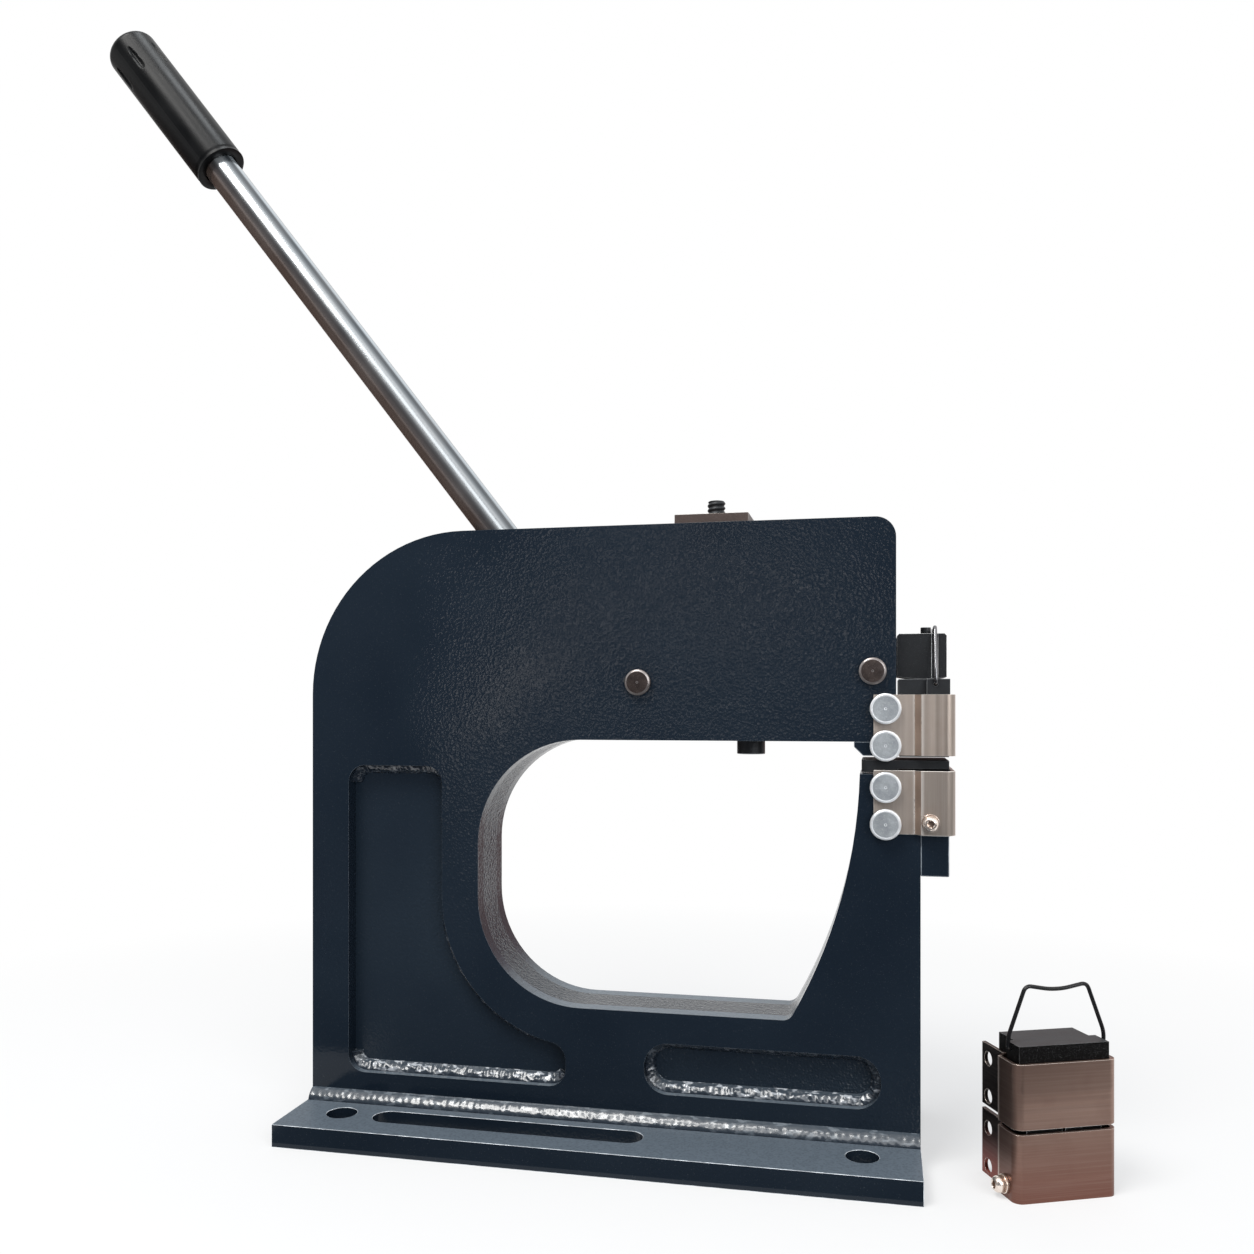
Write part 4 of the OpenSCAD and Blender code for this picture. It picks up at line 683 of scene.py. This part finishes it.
# sizes in millimetres, from the side of the frame that the head lies on
PIN_R, HEAD_R, HEAD_H, GROOVE, TAIL = 8, 9.25, 5, 54.25, 58.9
pin_profile = [
    (0, 0.5 - HEAD_H), (0.5, -HEAD_H), (0.9, -HEAD_H), (7.6, -HEAD_H), (7.9, 0.05 - HEAD_H),
    (8.7, 0.6 - HEAD_H), (9.0, 0.8 - HEAD_H), (HEAD_R, 1.2 - HEAD_H), (HEAD_R, 3.6 - HEAD_H),
    (HEAD_R, -0.3), (HEAD_R - 0.3, 0), (PIN_R, 0), (PIN_R, GROOVE), (PIN_R - 1, GROOVE),
    (PIN_R - 1, GROOVE + 1.7), (PIN_R, GROOVE + 1.7), (PIN_R, TAIL - 1.4), (PIN_R - 0.5, TAIL - 0.5),
    (PIN_R - 1.4, TAIL), (1.2, TAIL), (0, TAIL - 1.0)]
PIN_PLACES = {"lever_pin": (29 * MM, 328 * MM), "rocker_pin": (191.5 * MM, 335 * MM)}
# the edge shade paints the head's chamfer bright all round: a painted highlight, partly wear
pin_blue = worn_metal("blued_pin", (0.105, 0.080, 0.072), (0.33, 0.30, 0.29), 0.30, 0.75,
                      speckle=0.4, dark=(0.040, 0.030, 0.028), bump=0.35, fine=520.0)
for node, (x, z) in PIN_PLACES.items():
    pin = revolved(node + "_turned", pin_profile, (x, -HALF_W, z), (0, 1, 0), pin_blue)
    seat_on(pin, "frame", "pin_steel", node)

black_oxide = worn_metal("black_oxide", (0.018, 0.020, 0.023), (0.26, 0.27, 0.28), 0.36, 0.35,
                         speckle=0.05, bump=0.10)
finished("retaining_rings", 0.25 * MM, black_oxide)


# ---- Spring bar with its stud ----
# A flat bar of bare steel lies across the slot in the top of the arm, held by four countersunk
# screws. A blackened stud is screwed through it and sets the return spring. The stop bolt
# comes up from below into the solid strip over the throat.

bar_steel = worn_metal("bare_bar", (0.105, 0.078, 0.070), (0.50, 0.45, 0.41), 0.36, 0.6,
                       streak=(0.04, 1.0, 1.0), speckle=0.12)
finished("spring_bar", 0.45 * MM, bar_steel, slot="bare_steel")

pattern, given = shape_recipe("fastener_pattern", {
    "First place": "Vector", "In a row": "Int", "Step": "Vector",
    "Rows": "Int", "Row step": "Vector", "Finish": "Material"})
rows = pattern.shape("MeshLine", {
    "Count": given["Rows"], "Start Location": given["First place"], "Offset": given["Row step"]})
row = pattern.shape("MeshLine", {
    "Count": given["In a row"], "Start Location": (0.0, 0.0, 0.0), "Offset": given["Step"]})
row = pattern.shape("InstanceOnPoints", {"Points": row, "Instance": given["Geometry"]})
row = pattern.shape("RealizeInstances", {0: row})
rows = pattern.shape("InstanceOnPoints", {"Points": rows, "Instance": row})
end_recipe(pattern, rows, given["Finish"])


def set_of(name, one, first, step, row_step, finish, count=2, rows=2):
    """Repeats a turned fastener in two rows and drops the one it was made from."""
    mesh = one.data
    bpy.data.objects.remove(one)
    many = run_recipe(pattern, name, mesh, {
        "First place": first, "In a row": count, "Step": step, "Rows": rows,
        "Row step": row_step, "Finish": finish})
    many.data.set_sharp_from_angle(angle=math.radians(32))
    return many


one_screw = revolved("one_bar_screw", [
    (0, -12), (1.5, -12), (2.05, -11.4), (2.05, 0), (2.5, 0.1), (2.5, 3.2), (5.15, 5.75), (5.15, 5.9),
    (2.0, 5.9, "six"), (1.9, 4.0, "six"), (0, 3.6)], (0, 0, 0), (0, 0, 1), black_oxide, 48)
bar_screws = set_of("bar_screw_set", one_screw, (68 * MM, -21 * MM, ARM_TOP), (26 * MM, 0, 0),
                    (0, 42 * MM, 0), black_oxide)
seat_on(bar_screws, "frame", "black_oxide", "bar_screws")


def ringed(name, levels, spot, finish, smooth):
    """A closed round piece. Each level gives the radius and height, in millimetres, of its points."""
    shape = bmesh.new()
    rows = []
    for level in levels:
        row = []
        for j, (r, z) in enumerate(level):
            a = 2 * math.pi * j / len(level)
            row.append(shape.verts.new(
                spot @ Vector((r * MM * math.cos(a), r * MM * math.sin(a), z * MM))))
        rows.append(row)
    for low, high in zip(rows, rows[1:]):
        for j in range(len(low)):
            k = (j + 1) % len(low)
            shape.faces.new((low[j], low[k], high[k], high[j]))
    shape.faces.new(rows[0][::-1])
    shape.faces.new(rows[-1])
    return placed(name, shape, finish, smooth)


def threaded(radius, depth, pitch, length, foot, sides=56):
    """The levels of a screwed stud: its radius follows the thread's helix, and its top is
    chamfered. The foot is a list of radius and height pairs below the thread."""
    low = foot[-1][1]
    top = low + length
    levels = [[pair] * sides for pair in foot]
    for i in range(round(12 * length / pitch) + 1):
        z = low + i * pitch / 12
        level = []
        for j in range(sides):
            turn = (z / pitch - j / sides) % 1.0
            r = radius - depth * abs(2 * turn - 1) ** 1.3
            level.append((min(r, radius - 1.1 + top - z), z))
        levels.append(level)
    return levels + [[(radius * 0.62, top)] * sides, [(radius * 0.40, top - 0.6)] * sides]


STUD_X = 81 * MM
stud_levels = threaded(6.5, 1.1, 3.4, 27, [
    (5.0, 419), (6.1, 420), (7.1, 420.6), (7.1, 428), (11.0, 428), (11.0, 431), (6.0, 431), (6.0, 432)])
stud = ringed("spring_stud_threaded", stud_levels, Matrix.Translation((STUD_X, 0, 0)), black_oxide, 60)
seat_on(stud, "frame", "black_oxide", "spring_stud")

drawn, given = shape_recipe("drawn_wire", {"Radius": "Float", "Sides": "Int", "Finish": "Material"})
line = curve_through(drawn, given["Geometry"])
circle = drawn.shape("CurvePrimitiveCircle", {"Resolution": given["Sides"], "Radius": given["Radius"]})
tube = drawn.shape("CurveToMesh", {"Curve": line, "Profile Curve": circle, "Fill Caps": True})
tube = drawn.shape("SetShadeSmooth", {"Geometry": tube, "Shade Smooth": True})
end_recipe(drawn, tube, given["Finish"])


def wire(name, points, radius, finish, sides=14):
    mesh = bpy.data.meshes.new(name)
    mesh.from_pydata(points, [], [])
    piece = run_recipe(drawn, name, mesh, {"Radius": radius, "Sides": sides, "Finish": finish})
    piece.data.set_sharp_from_angle(angle=math.radians(60))
    return piece


spring_steel = worn_metal("spring_steel", (0.24, 0.23, 0.22), (0.5, 0.49, 0.47), 0.30, 0.9)
SPRING_LOW, SPRING_HIGH, SPRING_R, COIL_R = 369.5 * MM, 426.75 * MM, 8.8 * MM, 1.2 * MM
# the end turns are closed, and the others rise evenly
SPRING_TURNS, END_RISE = 7, 2.9 * MM
pitch = (SPRING_HIGH - SPRING_LOW - 2 * END_RISE) / (SPRING_TURNS - 2)
coil = []
for i in range(SPRING_TURNS * 40 + 1):
    t = i / 40
    closed = min(t, 1) + max(t - SPRING_TURNS + 1, 0)
    z = SPRING_LOW + END_RISE * closed + pitch * min(max(t - 1, 0), SPRING_TURNS - 2)
    a = 2 * math.pi * t
    coil.append((STUD_X + SPRING_R * math.cos(a), SPRING_R * math.sin(a), z))
spring = wire("return_spring_coil", coil, COIL_R, spring_steel, 12)
seat_on(spring, "frame", "bare_steel", "return_spring")
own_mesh(spring)

finished("stop_bolt", 0.5 * MM, black_oxide)


# ---- Jaw housings ----
# Each jaw sits in a housing bent from one strip of steel: two flanges lie on the side plates,
# then the strip steps out at a joggle and goes round the jaw as a box. Nickel plated and ground
# upright, so it is tan with fine upright lines; the browner joggle is a painted reflection, and the
# bends and edges carry painted highlights.

JOGGLE, BOX, BOX_END = 219 * MM, 223.2 * MM, 245.3 * MM


def plated(name, base, brown, bright, gleam, rough=0.30, metal=0.72, banding=0.35,
           place=(0, 0, 0), turn=0.0, lines=(1.0, 1.0, 0.012), flange_reflection=None, low_flange_reflection=None,
           low_box_reflection=None, low_z=0.0):
    """Ground nickel plate: fine grinding lines, a brown painted reflection in the joggle, painted
    highlights on the bends and edges. The gleam is a painted reflection: a list of places from the
    joggle to the front wall, each with its brightness. The flange shades and the low shade, when
    given, paint reflections on the flanges and low on the box."""
    material, skin, spot = new_finish(name)
    local = skin.add("ShaderNodeMapping", {"vector_type": "TEXTURE"},
                     {"Vector": spot, "Location": place, "Rotation": (0.0, 0.0, turn)})
    out = skin.part(local, "X")
    up = skin.part(local, "Z")
    streaked = skin.vector("MULTIPLY", local, lines)
    ground = skin.noise(streaked, 900.0, 4.0, 0.65)
    bands = skin.noise(streaked, 120.0)
    cloud = skin.noise(local, 42.0, 3.0)
    dots = skin.noise(local, 1500.0)
    edge_band = skin.mark("edge")

    def band(start, full, fading, end):
        """1 between two places along the housing, with soft ends."""
        return skin.grow(out, start, full) * skin.grow(out, end, fading)

    shade = skin.mix(skin.grow(bands, 0.38, 0.62) * banding, base, tuple(0.80 * c for c in base))
    shade = skin.mix(skin.grow(cloud, 0.5, 0.75) * 0.25, shade, brown)
    # painted reflection: the gleam lightens and darkens bands across the box
    sway = out + 1.2 * MM * (bands - 0.5)
    tone = skin.add("ShaderNodeValToRGB", {"stops": [(t, (g, g, g)) for t, g in gleam]},
                    {0: skin.grow(sway, BOX, BOX_END)})
    shade = skin.mix(skin.grow(out, JOGGLE, BOX), shade, skin.mix(1.0, shade, tone, "MULTIPLY"))
    # painted reflections: the flange shades on the flange, the low shade low on the box
    if flange_reflection:
        shade = skin.mix(skin.grow(up, low_z, 0.0), shade, low_box_reflection)
        flange_reflection = skin.mix(skin.grow(up, 34 * MM, 6 * MM), flange_reflection, low_flange_reflection)
        on_flange = skin.grow(out, JOGGLE + 0.4 * MM, JOGGLE - 0.4 * MM)
        shade = skin.mix(on_flange * 0.94, shade, flange_reflection)
    shade = skin.mix(skin.grow(ground, 0.45, 0.7) * (0.3 * banding), shade, bright)
    # painted reflection: the joggle is browner
    inside = band(JOGGLE - 0.4 * MM, JOGGLE + 0.4 * MM, BOX - 0.4 * MM, BOX + 0.4 * MM)
    shade = skin.mix(inside * 0.62, shade, brown)
    # painted highlights on the two bends
    bend = (band(JOGGLE - 1.6 * MM, JOGGLE - 0.4 * MM, JOGGLE - 0.4 * MM, JOGGLE + 0.2 * MM)
            + band(BOX, BOX + 0.6 * MM, BOX + 0.8 * MM, BOX + 2.2 * MM))
    shade = skin.mix(bend * 0.55, shade, bright)
    shade = skin.mix(skin.grow(dots, 0.62, 0.72) * 0.14, shade, brown)
    # painted highlights on the broken edges
    shade = skin.mix(edge_band * 0.9, shade, bright)
    skin.coated({"Base Color": shade, "Metallic": metal,
                 "Roughness": rough + 0.10 * cloud - 0.08 * edge_band,
                 "Normal": skin.bump(0.12, 0.2 * MM, ground + dots * 0.3)})
    return material


NICKEL, NICKEL_BROWN, NICKEL_BRIGHT = (0.50, 0.425, 0.37), (0.30, 0.20, 0.145), (0.92, 0.86, 0.80)
# the upper housing's plate is lighter and the lower's darker, painted light on two copies of one plate;
# each gleam is a painted reflection
HOUSINGS = {
    "upper_housing": (1.09, [(0.0, 1.0), (0.14, 0.86), (0.30, 1.0), (0.38, 1.0), (0.46, 0.70),
                             (0.62, 0.92), (0.74, 0.60), (0.84, 0.92), (0.93, 0.52), (1.0, 1.0)]),
    "lower_housing": (0.94, [(0.0, 0.92), (0.3, 0.84), (0.6, 0.80), (0.82, 0.72), (0.92, 0.52),
                             (1.0, 1.0)])}
for node, (lit_share, gleam) in HOUSINGS.items():
    nickel = plated(node + "_plate", tuple(lit_share * c for c in NICKEL), NICKEL_BROWN,
                    NICKEL_BRIGHT, gleam)
    finished(node, 0.75 * MM, nickel, slot="nickel")

# Flat-headed bolts through flanges and frame, with flanged nuts behind
# the zinc's edge shade paints the bolt rims bright: a painted highlight, partly wear
zinc = worn_metal("zinc_plate", (0.43, 0.455, 0.475), (0.86, 0.88, 0.90), 0.36, 0.55, speckle=0.30,
                  dark=(0.27, 0.29, 0.31), bump=0.40, fine=520.0)
BOLT_X, BOLT_Y, BOLT_Z, BOLT_L = 200 * MM, 29.5 * MM, 231.5 * MM, 69
BOLT_PITCH, HOUSING_PITCH = (0, 0, 25 * MM), (0, 0, 53 * MM)
one_bolt = revolved("one_bolt", [
    (0, -4.2), (0.6, -4.42), (1.0, -4.42), (8.5, -4.42), (8.7, -4.42), (9.0, -4.5), (9.4, -4.5),
    (10.2, -3.9), (10.45, -3.2), (10.45, -0.5), (10.1, 0), (4, 0), (4, BOLT_L - 1), (3, BOLT_L),
    (0, BOLT_L)], (0, 0, 0), (0, 1, 0), zinc)
bolts = set_of("housing_bolt_set", one_bolt, (BOLT_X, -BOLT_Y, BOLT_Z), BOLT_PITCH, HOUSING_PITCH, zinc)
seat_on(bolts, "frame", "zinc", "housing_bolts")
one_nut = revolved("one_nut", [
    (4.02, 0), (8.2, 0), (8.5, 0.4), (8.5, 1.1), (7.9, 1.5), (6.41, 1.6, "six"), (6.41, 7.4, "six"),
    (6.1, 7.95), (4.5, 8.0), (4.02, 7.5)], (0, 0, 0), (0, 1, 0), zinc, 60)
nuts = set_of("housing_nut_set", one_nut, (BOLT_X, BOLT_Y, BOLT_Z), BOLT_PITCH, HOUSING_PITCH, zinc)
seat_on(nuts, "frame", "zinc", "housing_nuts")

# Clamp screw and its split washer, copper-toned plate
rose = worn_metal("rose_plate", (0.58, 0.43, 0.34), (0.92, 0.82, 0.74), 0.20, 0.85, speckle=0.0,
                  bump=0.03)


def clamp_screw(node, spot):
    """A cap screw with a domed head and a six-sided recess, from its seat on the washer."""
    seat = spot @ Vector((229 * MM, -37.5 * MM, 233.5 * MM))
    away = spot.to_3x3() @ Vector((0, -1, 0))
    screw = revolved(node + "_turned", [
        (0, -6), (2.9, -6), (2.9, 0), (5.0, 0), (5.3, 0.5), (5.3, 2.6), (4.95, 4.1), (4.25, 5.2),
        (3.4, 5.8), (2.6, 5.95), (2.45, 5.6, "six"), (2.45, 2.8, "six"), (0, 2.2)],
        seat, away, rose, 60, 40)
    seat_on(screw, "frame", "copper_tone", node)


clamp_screw("clamp_screw", Matrix())
for node in ("clamp_washer", "spare_clamp_washer"):
    finished(node, 0.35 * MM, rose, slot="copper_tone")


# ---- Wedge blocks and dies ----
# Blocks of hardened steel, ground and blackened, hold the four dies in tapered pockets. The
# dies slide on the tapers and grip the sheet. Steel pins keep them, rubber pads push them back.

BLOCKS = {"lower_wedge": "frame", "upper_wedge": "upper_jaw",
          "upper_die_front": "upper_die_f", "upper_die_back": "upper_die_b",
          "lower_die_front": "lower_die_f", "lower_die_back": "lower_die_b"}
for node, body in BLOCKS.items():
    finished(node, 0.55 * MM, black_oxide, body)
pin_steel = worn_metal("ground_pin", (0.36, 0.34, 0.32), (0.7, 0.68, 0.66), 0.22, 0.95)
for node, body in {"lower_die_pins": "frame", "upper_die_pins": "upper_jaw"}.items():
    finished(node, 0.3 * MM, pin_steel, body, "pin_steel")
pad_rubber = worn_metal("pad_rubber", (0.012, 0.012, 0.012), (0.05, 0.05, 0.05), 0.62, 0.0,
                        speckle=0.4, bump=0.3)
lower_pads = finished("lower_die_pads", 0.3 * MM, pad_rubber, "frame", "pad_rubber")
upper_pads = finished("upper_die_pads", 0.3 * MM, pad_rubber, "upper_jaw", "pad_rubber")
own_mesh(lower_pads)
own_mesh(upper_pads)


# ---- Ram, rocker and roller ----
# The rocker beam lies in the channel of the arm. The lever's cam lifts its rear end through a
# hardened roller, and its front end presses the ram head down on the upper wedge block. The
# ram head is blackened on its faces and held by a small screw; its edges are painted bright, partly
# as ground steel and partly as a painted highlight.

ram_black = worn_metal("ground_black", (0.015, 0.0165, 0.019), (0.62, 0.62, 0.62), 0.34, 0.4,
                       speckle=0.06, bump=0.10)
chrome = worn_metal("polished_steel", (0.62, 0.61, 0.60), (0.9, 0.9, 0.9), 0.14, 1.0,
                    speckle=0.05, dark=(0.5, 0.49, 0.48), bump=0.03)
bronze = worn_metal("machined_bronze", (0.42, 0.27, 0.11), (0.75, 0.56, 0.30), 0.3, 0.95)
finished("ram_head", 0.6 * MM, ram_black, "rocker")
finished("head_screw", 0.3 * MM, black_oxide, "rocker")
finished("rocker_beam", 0.6 * MM, bar_steel, "rocker", "bare_steel")
finished("rocker_bush", 0.25 * MM, bronze, "rocker", "bronze")
finished("roller_pin", 0.4 * MM, pin_steel, "rocker", "pin_steel")
finished("cam_roller", 0.5 * MM, chrome, "roller", "chrome")


# ---- Lever ----
# The hub is a steel cam with a socket. The rod is polished bar pressed into it and pinned, and
# the grip is soft black vinyl pushed over the rod's end, with flutes near its domed tip.

finished("lever_hub", 0.6 * MM, bar_steel, "handle", "bare_steel")
finished("lever_bush", 0.25 * MM, bronze, "handle", "bronze")
finished("rod_pin", 0.3 * MM, pin_steel, "handle", "pin_steel")

# painted reflections round the rod: bands of tone from the back over its lower side to the front, at
# 0.5, and on
PAINTED_REFLECTION_BANDS = [(0.0, (0.42, 0.41, 0.40)), (0.10, (0.15, 0.125, 0.115)), (0.17, (0.52, 0.50, 0.49)),
         (0.22, (0.30, 0.27, 0.26)), (0.292, (0.20, 0.145, 0.125)), (0.397, (0.18, 0.135, 0.115)),
         (0.437, (0.105, 0.078, 0.068)), (0.464, (0.15, 0.13, 0.125)), (0.497, (0.095, 0.090, 0.092)),
         (0.517, (0.15, 0.155, 0.16)), (0.537, (0.40, 0.42, 0.43)), (0.600, (0.46, 0.49, 0.51)),
         (0.622, (0.22, 0.245, 0.265)), (0.648, (0.095, 0.110, 0.124)), (0.672, (0.10, 0.115, 0.128)),
         (0.692, (0.48, 0.53, 0.57)), (0.722, (0.56, 0.62, 0.66)), (0.745, (0.22, 0.24, 0.27)),
         (0.80, (0.13, 0.14, 0.15)), (0.86, (0.50, 0.51, 0.52)), (0.93, (0.24, 0.24, 0.245)),
         (1.0, (0.42, 0.41, 0.40))]
polished_rod, skin, spot = new_finish("polished_rod")
across = skin.add("ShaderNodeVectorMath", {"operation": "DOT_PRODUCT"},
                  {0: spot, 1: tuple(SIDE_ROD)}, out=1) - SIDE_ROD.dot(LEVER_FOOT)
front = skin.part(spot, "Y") * -1.0
local = skin.add("ShaderNodeMapping", {"vector_type": "TEXTURE"},
                 {"Vector": spot, "Rotation": (0.0, math.radians(-38.0), 0.0)})
scratches = skin.noise(skin.vector("MULTIPLY", local, (1.0, 1.0, 0.006)), 1100.0, 1.0)
film = skin.noise(spot, 26.0, 4.0)
turn = across.maths("ARCTAN2", across, front) + 0.03 * (scratches - 0.5)
shade = skin.add("ShaderNodeValToRGB", {"stops": PAINTED_REFLECTION_BANDS}, {0: skin.grow(turn, -math.pi, math.pi)})
shade = skin.mix(skin.grow(film, 0.35, 0.7) * 0.25, shade, (0.30, 0.28, 0.27))
skin.coated({"Base Color": shade, "Metallic": 0.70,
             "Roughness": 0.19 + 0.06 * skin.grow(film, 0.4, 0.75),
             "Normal": skin.bump(0.05, 0.04 * MM, scratches)})
rod = revolved("rod_turned", [
    (0, 12.5), (6.5, 12.5), (7.95, 14), (7.95, 61.9), (12.4, 62.0), (12.97, 62.7), (12.97, 180),
    (12.97, 320), (12.97, 460), (12.97, 664), (12, 665), (0, 665)], LEVER_FOOT, UP_ROD, polished_rod, 96)
seat_on(rod, "handle", "chrome", "handle_rod")

vinyl, soft, spot = new_finish("grip_vinyl")
worn = soft.grow(soft.noise(spot, 40.0, 4.0), 0.40, 0.68)
dust = soft.grow(soft.noise(spot, 800.0, 3.0), 0.64, 0.76)
shade = soft.mix(worn, (0.0026, 0.0029, 0.0033), (0.0044, 0.0047, 0.0052))
soft.coated({"Base Color": soft.mix(dust * 0.08, shade, (0.05, 0.048, 0.045)),
             "Roughness": 0.31 + 0.06 * worn, "Specular IOR Level": 0.12,
             "Normal": soft.bump(0.04, 0.2 * MM, soft.noise(spot, 1700.0, 2.0, 0.6))})

# the grip's sizes in millimetres, with its heights along the lever, and angles round it
GRIP_FOOT, GRIP_TIP, GRIP_R, GRIP_SIDES, LIP, DOME = 537, 670.5, 20, 288, 5, 5.2
FLUTES, FLUTE_LONG, FLUTE_DEEP, FLUTE_W, FLUTE_TURN = 6, 23, 1.9, 5.4, 0.17
FLUTE_MID = GRIP_TIP - 15 - FLUTE_LONG / 2
SEAM_TURN, SEAM_W, SEAM_H = -0.25, 0.55, 0.16


def grip_radius(s, turn):
    """The grip's radius at a height along the lever and an angle round it."""
    r = GRIP_R
    if s < GRIP_FOOT + LIP:
        r = GRIP_R - 0.35 * math.sin(math.pi * (s - GRIP_FOOT) / LIP) ** 2
    if s > GRIP_TIP - DOME:
        up = min(1.0, (s - (GRIP_TIP - DOME)) / DOME)
        r = GRIP_R - DOME + DOME * math.sqrt(max(0.0, 1 - up * up))
    step = 2 * math.pi / FLUTES
    off = ((turn - FLUTE_TURN) / step + 0.5) % 1.0 - 0.5
    across = off * step * GRIP_R / (FLUTE_W / 2)
    up = (s - FLUTE_MID) / (FLUTE_LONG / 2)
    narrow = 1.0 - 0.38 * (up + 1) / 2
    reach = (across / narrow) ** 2 + up ** 4
    if reach < 1.0:
        r -= FLUTE_DEEP * (1 - reach)
    seam = abs((turn - SEAM_TURN + math.pi) % (2 * math.pi) - math.pi) * GRIP_R
    if seam < SEAM_W and s < GRIP_TIP - 10:
        r += SEAM_H * (1 - seam / SEAM_W)
    return r


stations = [GRIP_FOOT + 0.3 + (GRIP_TIP - GRIP_FOOT - 7) * i / 190 for i in range(191)]
stations += [GRIP_TIP - 6.6 + 6.6 * math.sin(math.pi / 2 * i / 12) for i in range(1, 13)]
bore = [(13.3, GRIP_FOOT + 6), (13.3, GRIP_FOOT + 0.6), (14.0, GRIP_FOOT), (GRIP_R - 0.6, GRIP_FOOT)]
tip = [((GRIP_R - DOME) * part, GRIP_TIP) for part in (0.7, 0.35)]
levels = [[pair] * GRIP_SIDES for pair in bore]
levels += [[(grip_radius(s, 2 * math.pi * j / GRIP_SIDES), s) for j in range(GRIP_SIDES)]
           for s in stations]
levels += [[pair] * GRIP_SIDES for pair in tip]
up_the_rod = Matrix.Translation(LEVER_FOOT) @ UP_ROD.to_track_quat("Z", "Y").to_matrix().to_4x4()
grip = ringed("grip_moulded", levels, up_the_rod, vinyl, 50)
seat_on(grip, "handle", "grip", "hand_grip")
grip_taker = bpy.data.collections.new("grip_under_its_lamp")
grip_taker.objects.link(grip)
grip_lamp = area_light("grip_lamp", (-0.235, -0.03, 1.38), (-0.36, 0.0, 0.79), (0.18, 0.26), 1.6,
                       (0.92, 0.97, 1.0))
grip_lamp.light_linking.receiver_collection = grip_taker


# ---- Wire bails ----
# One piece of spring wire is bent up over the ram head and hooks the upper jaw to it. The two
# ends turn inwards and sit in holes in the wedge block.

def rounded(corners, radius, steps=7):
    """A path through corners, each one rounded."""
    path = [Vector(corners[0])]
    for a, b, c in zip(corners, corners[1:], corners[2:]):
        a, b, c = Vector(a), Vector(b), Vector(c)
        cut = min(radius, (a - b).length * 0.49, (c - b).length * 0.49)
        first, last = b + (a - b).normalized() * cut, b + (c - b).normalized() * cut
        for i in range(steps + 1):
            t = i / steps
            path.append((1 - t) ** 2 * first + 2 * t * (1 - t) * b + t * t * last)
    path.append(Vector(corners[-1]))
    return path


BAIL_X, BAIL_Z, BAIL_R, BEND_R = 232.6 * MM, 325.9 * MM, 1.3 * MM, 4.2 * MM
# half of the bail in millimetres, out from the middle plane and up from its ends
HALF_BAIL = [(27.4, 0), (33.6, 0), (33.6, 7.6), (21.5, 39.5), (5.0, 36.5)]
loop = [(-y, z) for y, z in HALF_BAIL] + HALF_BAIL[::-1]
bail_path = rounded([(BAIL_X, y * MM, BAIL_Z + z * MM) for y, z in loop], BEND_R)
bail_wire = worn_metal("drawn_wire_bright", (0.25, 0.25, 0.26), (0.6, 0.6, 0.6), 0.16, 1.0,
                       speckle=0.0, bump=0.0)
bail = wire("jaw_bail_wire", bail_path, BAIL_R, bail_wire)
seat_on(bail, "bail", "pin_steel", "jaw_bail")


# ---- Second jaw set ----
# A spare pair of jaws stands beside the tool, turned a little. It is the same set, but plated
# copper brown and ground lengthways, and its bail wire is black.

SPARE_TURN = math.radians(-66.4)
SPARE_PLACE = Matrix.Translation((279 * MM, -72 * MM, 0)) @ Matrix.Rotation(SPARE_TURN, 4, "Z")
spare_spot = SPARE_PLACE @ Matrix.Translation((-245.3 * MM, 35.5 * MM, 0))
# the spare's gleam is a painted reflection, brightest near the corner
spare_gleam = [(0.0, 0.45), (0.45, 0.60), (0.80, 0.85), (0.92, 1.5), (0.985, 1.3), (1.0, 1.0)]
# the flange shades paint a dark reflection on the flange, redder towards its foot, and the low shade a
# redder reflection low on the box
spare_nickel = plated(
    "spare_plate", (0.208, 0.135, 0.108), (0.10, 0.045, 0.032), (0.92, 0.80, 0.72), spare_gleam,
    rough=0.28, metal=0.8, banding=0.13, place=tuple(spare_spot.to_translation()), turn=SPARE_TURN,
    lines=(0.012, 0.012, 1.0), flange_reflection=(0.008, 0.006, 0.006), low_flange_reflection=(0.17, 0.026, 0.016),
    low_box_reflection=(0.168, 0.074, 0.055), low_z=50 * MM)
# the last shade paints what lies level on the blackened blocks lighter: a painted light from above
black_cast = worn_metal("black_cast", (0.0046, 0.0043, 0.0043), (0.55, 0.56, 0.57), 0.36, 0.3,
                        speckle=0.12, bump=0.5, fine=600.0, lit_top=(0.056, 0.059, 0.062), gloss=0.08)
for node in ("spare_upper_housing", "spare_lower_housing"):
    finished(node, 0.85 * MM, spare_nickel, slot="spare_nickel")
SPARE_BLOCKS = {"_wedge": (0.55 * MM, black_cast, "black_oxide"),
                "_dies": (0.55 * MM, black_cast, "black_oxide"),
                "_pins": (0.3 * MM, pin_steel, "pin_steel"),
                "_pads": (0.3 * MM, pad_rubber, "pad_rubber")}
for part, (width, finish, slot) in SPARE_BLOCKS.items():
    for side, body in (("lower", "frame"), ("upper", "spare_jaw")):
        finished("spare_" + side + part, width, finish, body, slot)
clamp_screw("spare_clamp_screw", spare_spot @ Matrix.Translation((3.2 * MM, 0, -225 * MM)))
spare_path = [spare_spot @ Vector((p.x, p.y, p.z - BAIL_Z + 93.9 * MM)) for p in bail_path]
black_wire = worn_metal("black_wire", (0.006, 0.006, 0.007), (0.03, 0.03, 0.03), 0.2, 0.2)
spare_bail = wire("spare_bail_wire", spare_path, BAIL_R, black_wire)
seat_on(spare_bail, "spare_loop", "black_oxide", "spare_bail")
